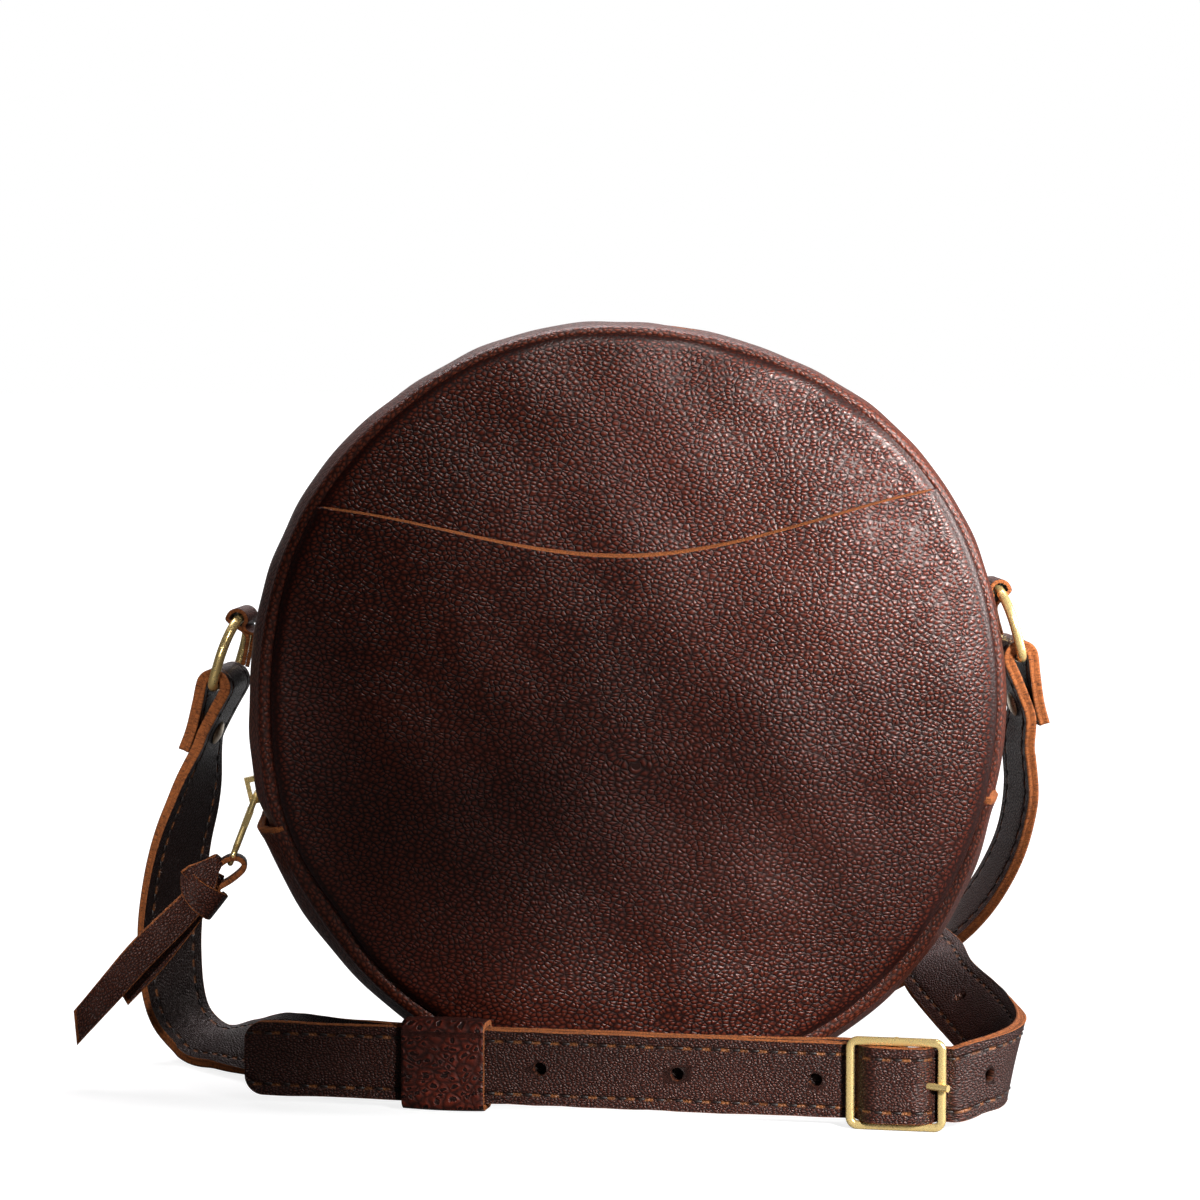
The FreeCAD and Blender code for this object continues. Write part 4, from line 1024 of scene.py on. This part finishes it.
# keeper: leather band closed round the doubled strap, full in the middle, raw side edges
def makeKeeper():
    half, thick = keeper["length"] / 2, keeper["wall"] / 2
    room = keeper["gap"] + thick
    bends = cornerArcs(3.05 + room, band["half"] + room, 1.6, 8)
    t = np.linspace(0, 1, 14)[1:-1, None]
    sides = [bend[-1] + (after[0] - bend[-1]) * t for bend, after in zip(bends, bends[1:] + bends[:1])]
    loop = np.concatenate([np.vstack(pair) for pair in zip(bends, sides)])
    out = outward(loop)
    x = np.r_[half - 0.15, half - 0.8, np.linspace(half - 2.5, 2.5 - half, 9), 0.8 - half, 0.15 - half]
    face = columns(x, thick + 0.25 * (1 - (x / half) ** 2) - 0.12, 0)
    edge = np.array([[-half, thick - 0.35, 1], [-half + 0.06, 0, 1], [-half, -thick + 0.2, 1]])
    under = columns(x[::-4], -thick, 0)
    section = np.vstack([face, edge, under, edge[::-1] * [-1, 1, 1]])
    along, lift, kind = section.T
    wave = 0.22 * lumps(columns(*loop.T, 0), 14.0, 4)
    lift = lift + wave[:, None] * (lift > 0)
    q, z = (loop[:, None, k] + out[:, None, k] * lift for k in (0, 1))
    points = runPoints(along - keeper["place"], q, z)
    lay = columns(along, walk(loop)[:, None], kind).reshape(-1, 3)
    piece = makePiece("keeperLoop", points, gridQuads(*q.shape, True, True), [keeperLeather], lay)
    return belongs(piece, "keeper", "strap_leather", "keeper_loop")


makeBuckle()
makeKeeper()
print("buckle and keeper made")

# lace: a loop through the pull's eye, a folded knot and two tails, set out hanging straight down
lace = dict(eye=np.array([-104.64746, 0.0, 57.98957]), lean=math.radians(44.5), steps=8)


# turned by the lean about Y, then moved to the eye
def laceFrame(local):
    x, y, z = local.T
    c, s = math.cos(lace["lean"]), math.sin(lace["lean"])
    return columns(x * c + z * s, y, z * c - x * s) + lace["eye"]


# flat strip with raw edges and a rough flesh side along given stations, a half width at each
def laceStrip(route, halves, thick):
    path, width = smoothPath(route, lace["steps"])
    half = np.interp(np.arange(len(path)) / lace["steps"], np.arange(len(halves)), halves)
    t = thick / 2
    section = np.array([[0.97, t, 1], [0.90, t + 0.04, 0.1], [0.45, t + 0.1, 0], [0, t + 0.12, 0],
                        [-0.45, t + 0.1, 0], [-0.90, t + 0.04, 0.1], [-0.97, t, 1],
                        [-1, t * 0.75, 1], [-1, 0, 1], [-1, -t * 0.75, 1]])
    section = np.vstack([section, section * [-1, -1, 1]])
    points, lay = sweep(path, framesOf(path, width), section, half)
    lay[:, 10:17, 2] = np.maximum(lay[:, 10:17, 2], 0.52)
    return points.reshape(-1, 3), barFaces(*points.shape[:2]), lay.reshape(-1, 3)


# round core under the wraps: an ellipsoid of 12 rings by 24 points
def knotCore(middle, radii):
    v = np.linspace(0.12, math.pi - 0.12, 12)[:, None]
    u = circle(24)[None, :]
    ball = columns(np.sin(v) * np.cos(u), np.sin(v) * np.sin(u), np.cos(v)).reshape(-1, 3)
    points = np.vstack([ball, [[0, 0, 1], [0, 0, -1]]]) * np.array(radii)
    return points + np.array(middle), discFaces(12, 24), points * [1, 1, 0]


# the strips and the core in one mesh; the tails' ends are cut at a slant
def makeLace():
    hang = [(-2.6, -6.5), (-2.0, -2.5), (-1.2, 0.8), (0.4, 2.5), (2.2, 2.8), (3.3, 1.8), (3.5, 0.2),
            (3.1, -3.0), (2.0, -7.0)]
    loop = [((x, 0, z), (0, 1.0, 0)) for x, z in hang]
    longTail = [((-0.2, -3.2, -11), (1, 0.1, 0)), ((-0.2, -4.0, -20), (1, 0.12, 0)),
                ((-0.4, -4.3, -32), (1, 0.04, 0)), ((0.3, -3.9, -46), (1, -0.05, 0)),
                ((1.0, -3.6, -59.0), (1, -0.1, 0))]
    shortTail = [((1.0, -0.6, -11), (1, -0.1, 0)), ((2.4, -0.2, -22), (1, -0.12, 0)),
                 ((3.4, 0.0, -33), (1, -0.06, 0)), ((3.6, 0.2, -44), (1, 0, 0))]
    wrap = [((5.0, 2.6, -10.0), (0.1, 0.1, -1)), ((5.3, -1.6, -10.4), (0.1, -0.2, -1)),
            ((4.0, -4.6, -10.6), (0.1, -0.15, -1)), ((1.0, -5.7, -11.1), (0.1, -0.05, -1)),
            ((-2.0, -5.7, -11.1), (0.16, 0, -1)), ((-4.6, -4.7, -10.5), (0.25, 0, -1)),
            ((-6.4, -2.2, -9.8), (0.2, 0, -1)), ((-6.2, 1.0, -9.8), (0.1, 0, -1)),
            ((-4.5, 3.4, -10.5), (0, 0.2, -1))]
    flap = [((-3.1, -4.2, -10.0), (-1, 0, 0)), ((-3.1, -4.7, -7.3), (-1, -0.04, -0.05)),
            ((-3.2, -4.3, -4.2), (-1, -0.08, -0.1)), ((-3.0, -3.0, -1.9), (-1, 0, -0.1)),
            ((-3.0, -0.6, -1.3), (-1, 0, 0)), ((-2.8, 2.0, -3.4), (-1, 0, 0)),
            ((-2.0, 3.4, -8.0), (-1, 0, 0))]
    back = [((-1.2, 3.4, -5.0), (1, 0, 0.2)), ((0.2, 4.1, -9.5), (1, 0, 0)),
            ((0.3, 3.1, -13.5), (1, 0, -0.2)), ((0.2, 0.4, -15.4), (1, 0, 0)),
            ((0.0, -2.4, -14.6), (1, 0, 0))]
    strips = [laceStrip(loop, [3.1] * 9, 1.3), laceStrip(longTail, [3.4, 3.9, 4.0, 3.8, 3.5], 1.5),
              laceStrip(shortTail, [3.2, 3.5, 3.5, 3.4], 1.5),
              laceStrip(wrap, [3.2, 3.9, 4.1, 3.9, 3.4, 2.6, 1.9, 1.8, 2.4], 1.4),
              laceStrip(flap, [5.0, 4.7, 2.9, 1.4, 1.3, 2.2, 3.0], 1.4),
              laceStrip(back, [3.0, 4.0, 3.7, 3.0, 2.6], 1.4),
              knotCore((-0.8, -0.6, -9.4), (4.6, 3.6, 5.2))]
    faces, count = [], 0
    for points, stripFaces, _ in strips:
        faces += [[v + count for v in face] for face in stripFaces]
        count += len(points)
    points, lay = (np.concatenate([strip[k] for strip in strips]) for k in (0, 2))
    tailCut = np.clip((-points[:, 2] - 38) / 18, 0, 1)
    points[:, 2] -= tailCut * (points[:, 0] - 0.8) * 0.9
    piece = makePiece("pullLace", laceFrame(points), faces, [laceLeather], lay)
    return belongs(piece, "lace", "strap_leather", "pull_lace")


makeLace()
print("lace made")

# metal nodes kept from the construction
for node in ("slider_body", "pull_tab", "d_ring_left", "d_ring_right", "buckle_prong", "zip_stops"):
    mesh = parts[node].data
    mesh.materials.clear()
    mesh.materials.append(brass)
    mesh.polygons.foreach_set("use_smooth", np.ones(len(mesh.polygons), bool))

# stage, in metres: pale floor, soft beams and lamps, the photograph's viewpoint
stage = dict(floor=3.0, floorGlow=1.35, ambient=0.02, backGlow=0.06, camera=(-0.072755, -1.388247, 0.265266),
             yaw=2.6965, pitch=5.681, focal=5323.0, frame=1200.0, sensor=36.0)
beams = [("keyRight", (0.36, -0.43, 0.31), (0.113, -0.03, 0.180), 0.112, 54, 0.05),
         ("topFront", (0.12, -0.45, 0.72), (-0.024, -0.03, 0.203), 0.090, 19, 0.05),
         ("strapFront", (0.25, -0.52, 0.20), (0.036, -0.085, -0.032), 0.118, 40, 0.04),
         ("laceLeft", (-0.30, -0.55, 0.28), (-0.145, 0.0, 0.075), 0.068, 18, 0.03)]
lamps = [("sideRight", (1.0, -0.02, 0.45), (0.1, 0, 0.06), (0.3, 0.6), 20, (1, 1, 1)),
         ("topBack", (0.0, 0.5, 0.9), (0, 0, 0.16), (0.9, 0.4), 12, (1, 0.94, 0.97))]


# floor: white to camera and transmission rays, to mirrored ones only behind the bag; dim to all others
def makeFloor():
    s = stage["floor"]
    mesh = bpy.data.meshes.new("paleFloor")
    mesh.from_pydata([(-s, -s, 0), (s, -s, 0), (s, s, 0), (-s, s, 0)], [], [(0, 1, 2, 3)])
    floor = bpy.data.objects.new("paleFloor", mesh)
    f = Finish("paleFloor", Roughness=0.8, Specular_IOR_Level=0.1)
    where = f.place()
    far = f.node("ShaderNodeVectorMath", {"operation": "LENGTH"}, {0: where}, 1)
    aside, deep, _ = f.split(where)
    behind = f.between(deep, 0.2, 0.6) * f.between(abs(aside), 0.4, 0.1)
    seen = f.ray("Camera") + f.ray("Transmission") + f.ray("Glossy") * behind
    f.give(Base_Color=f.blendColour(seen, (0.12, 0.12, 0.12), (0.8, 0.8, 0.8)))
    glow = f.node("ShaderNodeEmission", None, {"Color": (1, 1, 1, 1), "Strength": stage["floorGlow"]})
    share = seen * (f.between(far, 0.14, 0.42) * 0.38 + 0.62)
    both = f.node("ShaderNodeMixShader", None, {0: share, 1: Wire(f, f.shader.outputs[0]), 2: glow})
    f.feed(f.tree.nodes["Material Output"].inputs["Surface"], both)
    mesh.materials.append(f.material)
    bpy.context.scene.collection.objects.link(floor)


# world: white to camera and transmission rays, to mirrored ones only straight behind; dim to all others
def makeWorld():
    world = bpy.data.worlds.new("studio")
    world.use_nodes = True
    bpy.context.scene.world = world
    f = Graph(world.node_tree)
    _, depth, _ = f.split(f.place("Generated"))
    seen = f.ray("Camera") + f.ray("Transmission") + f.ray("Glossy") * f.between(depth, 0.92, 1.0)
    dim = f.between(depth, 0.0, 1.0, stage["ambient"], stage["backGlow"])
    back = f.tree.nodes["Background"]
    back.inputs["Color"].default_value = (1, 1, 1, 1)
    f.feed(back.inputs["Strength"], f.node("ShaderNodeMapRange", None, {0: seen, 3: dim, 4: 1.0}))


# light hung at its place and turned to its aim
def hangLight(name, light, place, aim):
    made = bpy.data.objects.new(name, light)
    made.location = place
    made.rotation_mode = "QUATERNION"
    made.rotation_quaternion = (Vector(aim) - Vector(place)).to_track_quat("-Z", "Y")
    bpy.context.scene.collection.objects.link(made)


makeFloor()
makeWorld()
for name, place, aim, reach, power, size in beams:  # round beam that fades out at its reach from the aim
    light = bpy.data.lights.new(name, "SPOT")
    light.energy, light.shadow_soft_size, light.spot_blend = power, size, 1.0
    light.spot_size = 2 * math.atan(reach / (Vector(aim) - Vector(place)).length)
    hangLight(name, light, place, aim)
for name, place, aim, size, power, colour in lamps:
    light = bpy.data.lights.new(name, "AREA")
    light.shape, light.size, light.size_y = "RECTANGLE", *size
    light.energy, light.color = power, colour
    hangLight(name, light, place, aim)

lens = bpy.data.cameras.new("photoView")
lens.sensor_width = stage["sensor"]
lens.lens = stage["focal"] * stage["sensor"] / stage["frame"]
lens.clip_start, lens.clip_end = 0.05, 20
camera = bpy.data.objects.new("photoView", lens)
camera.location = stage["camera"]
camera.rotation_euler = (math.radians(90 - stage["pitch"]), 0, math.radians(-stage["yaw"]))
bpy.context.scene.collection.objects.link(camera)
bpy.context.scene.camera = camera
bpy.context.scene.view_settings.view_transform = "Standard"
print("stage set")
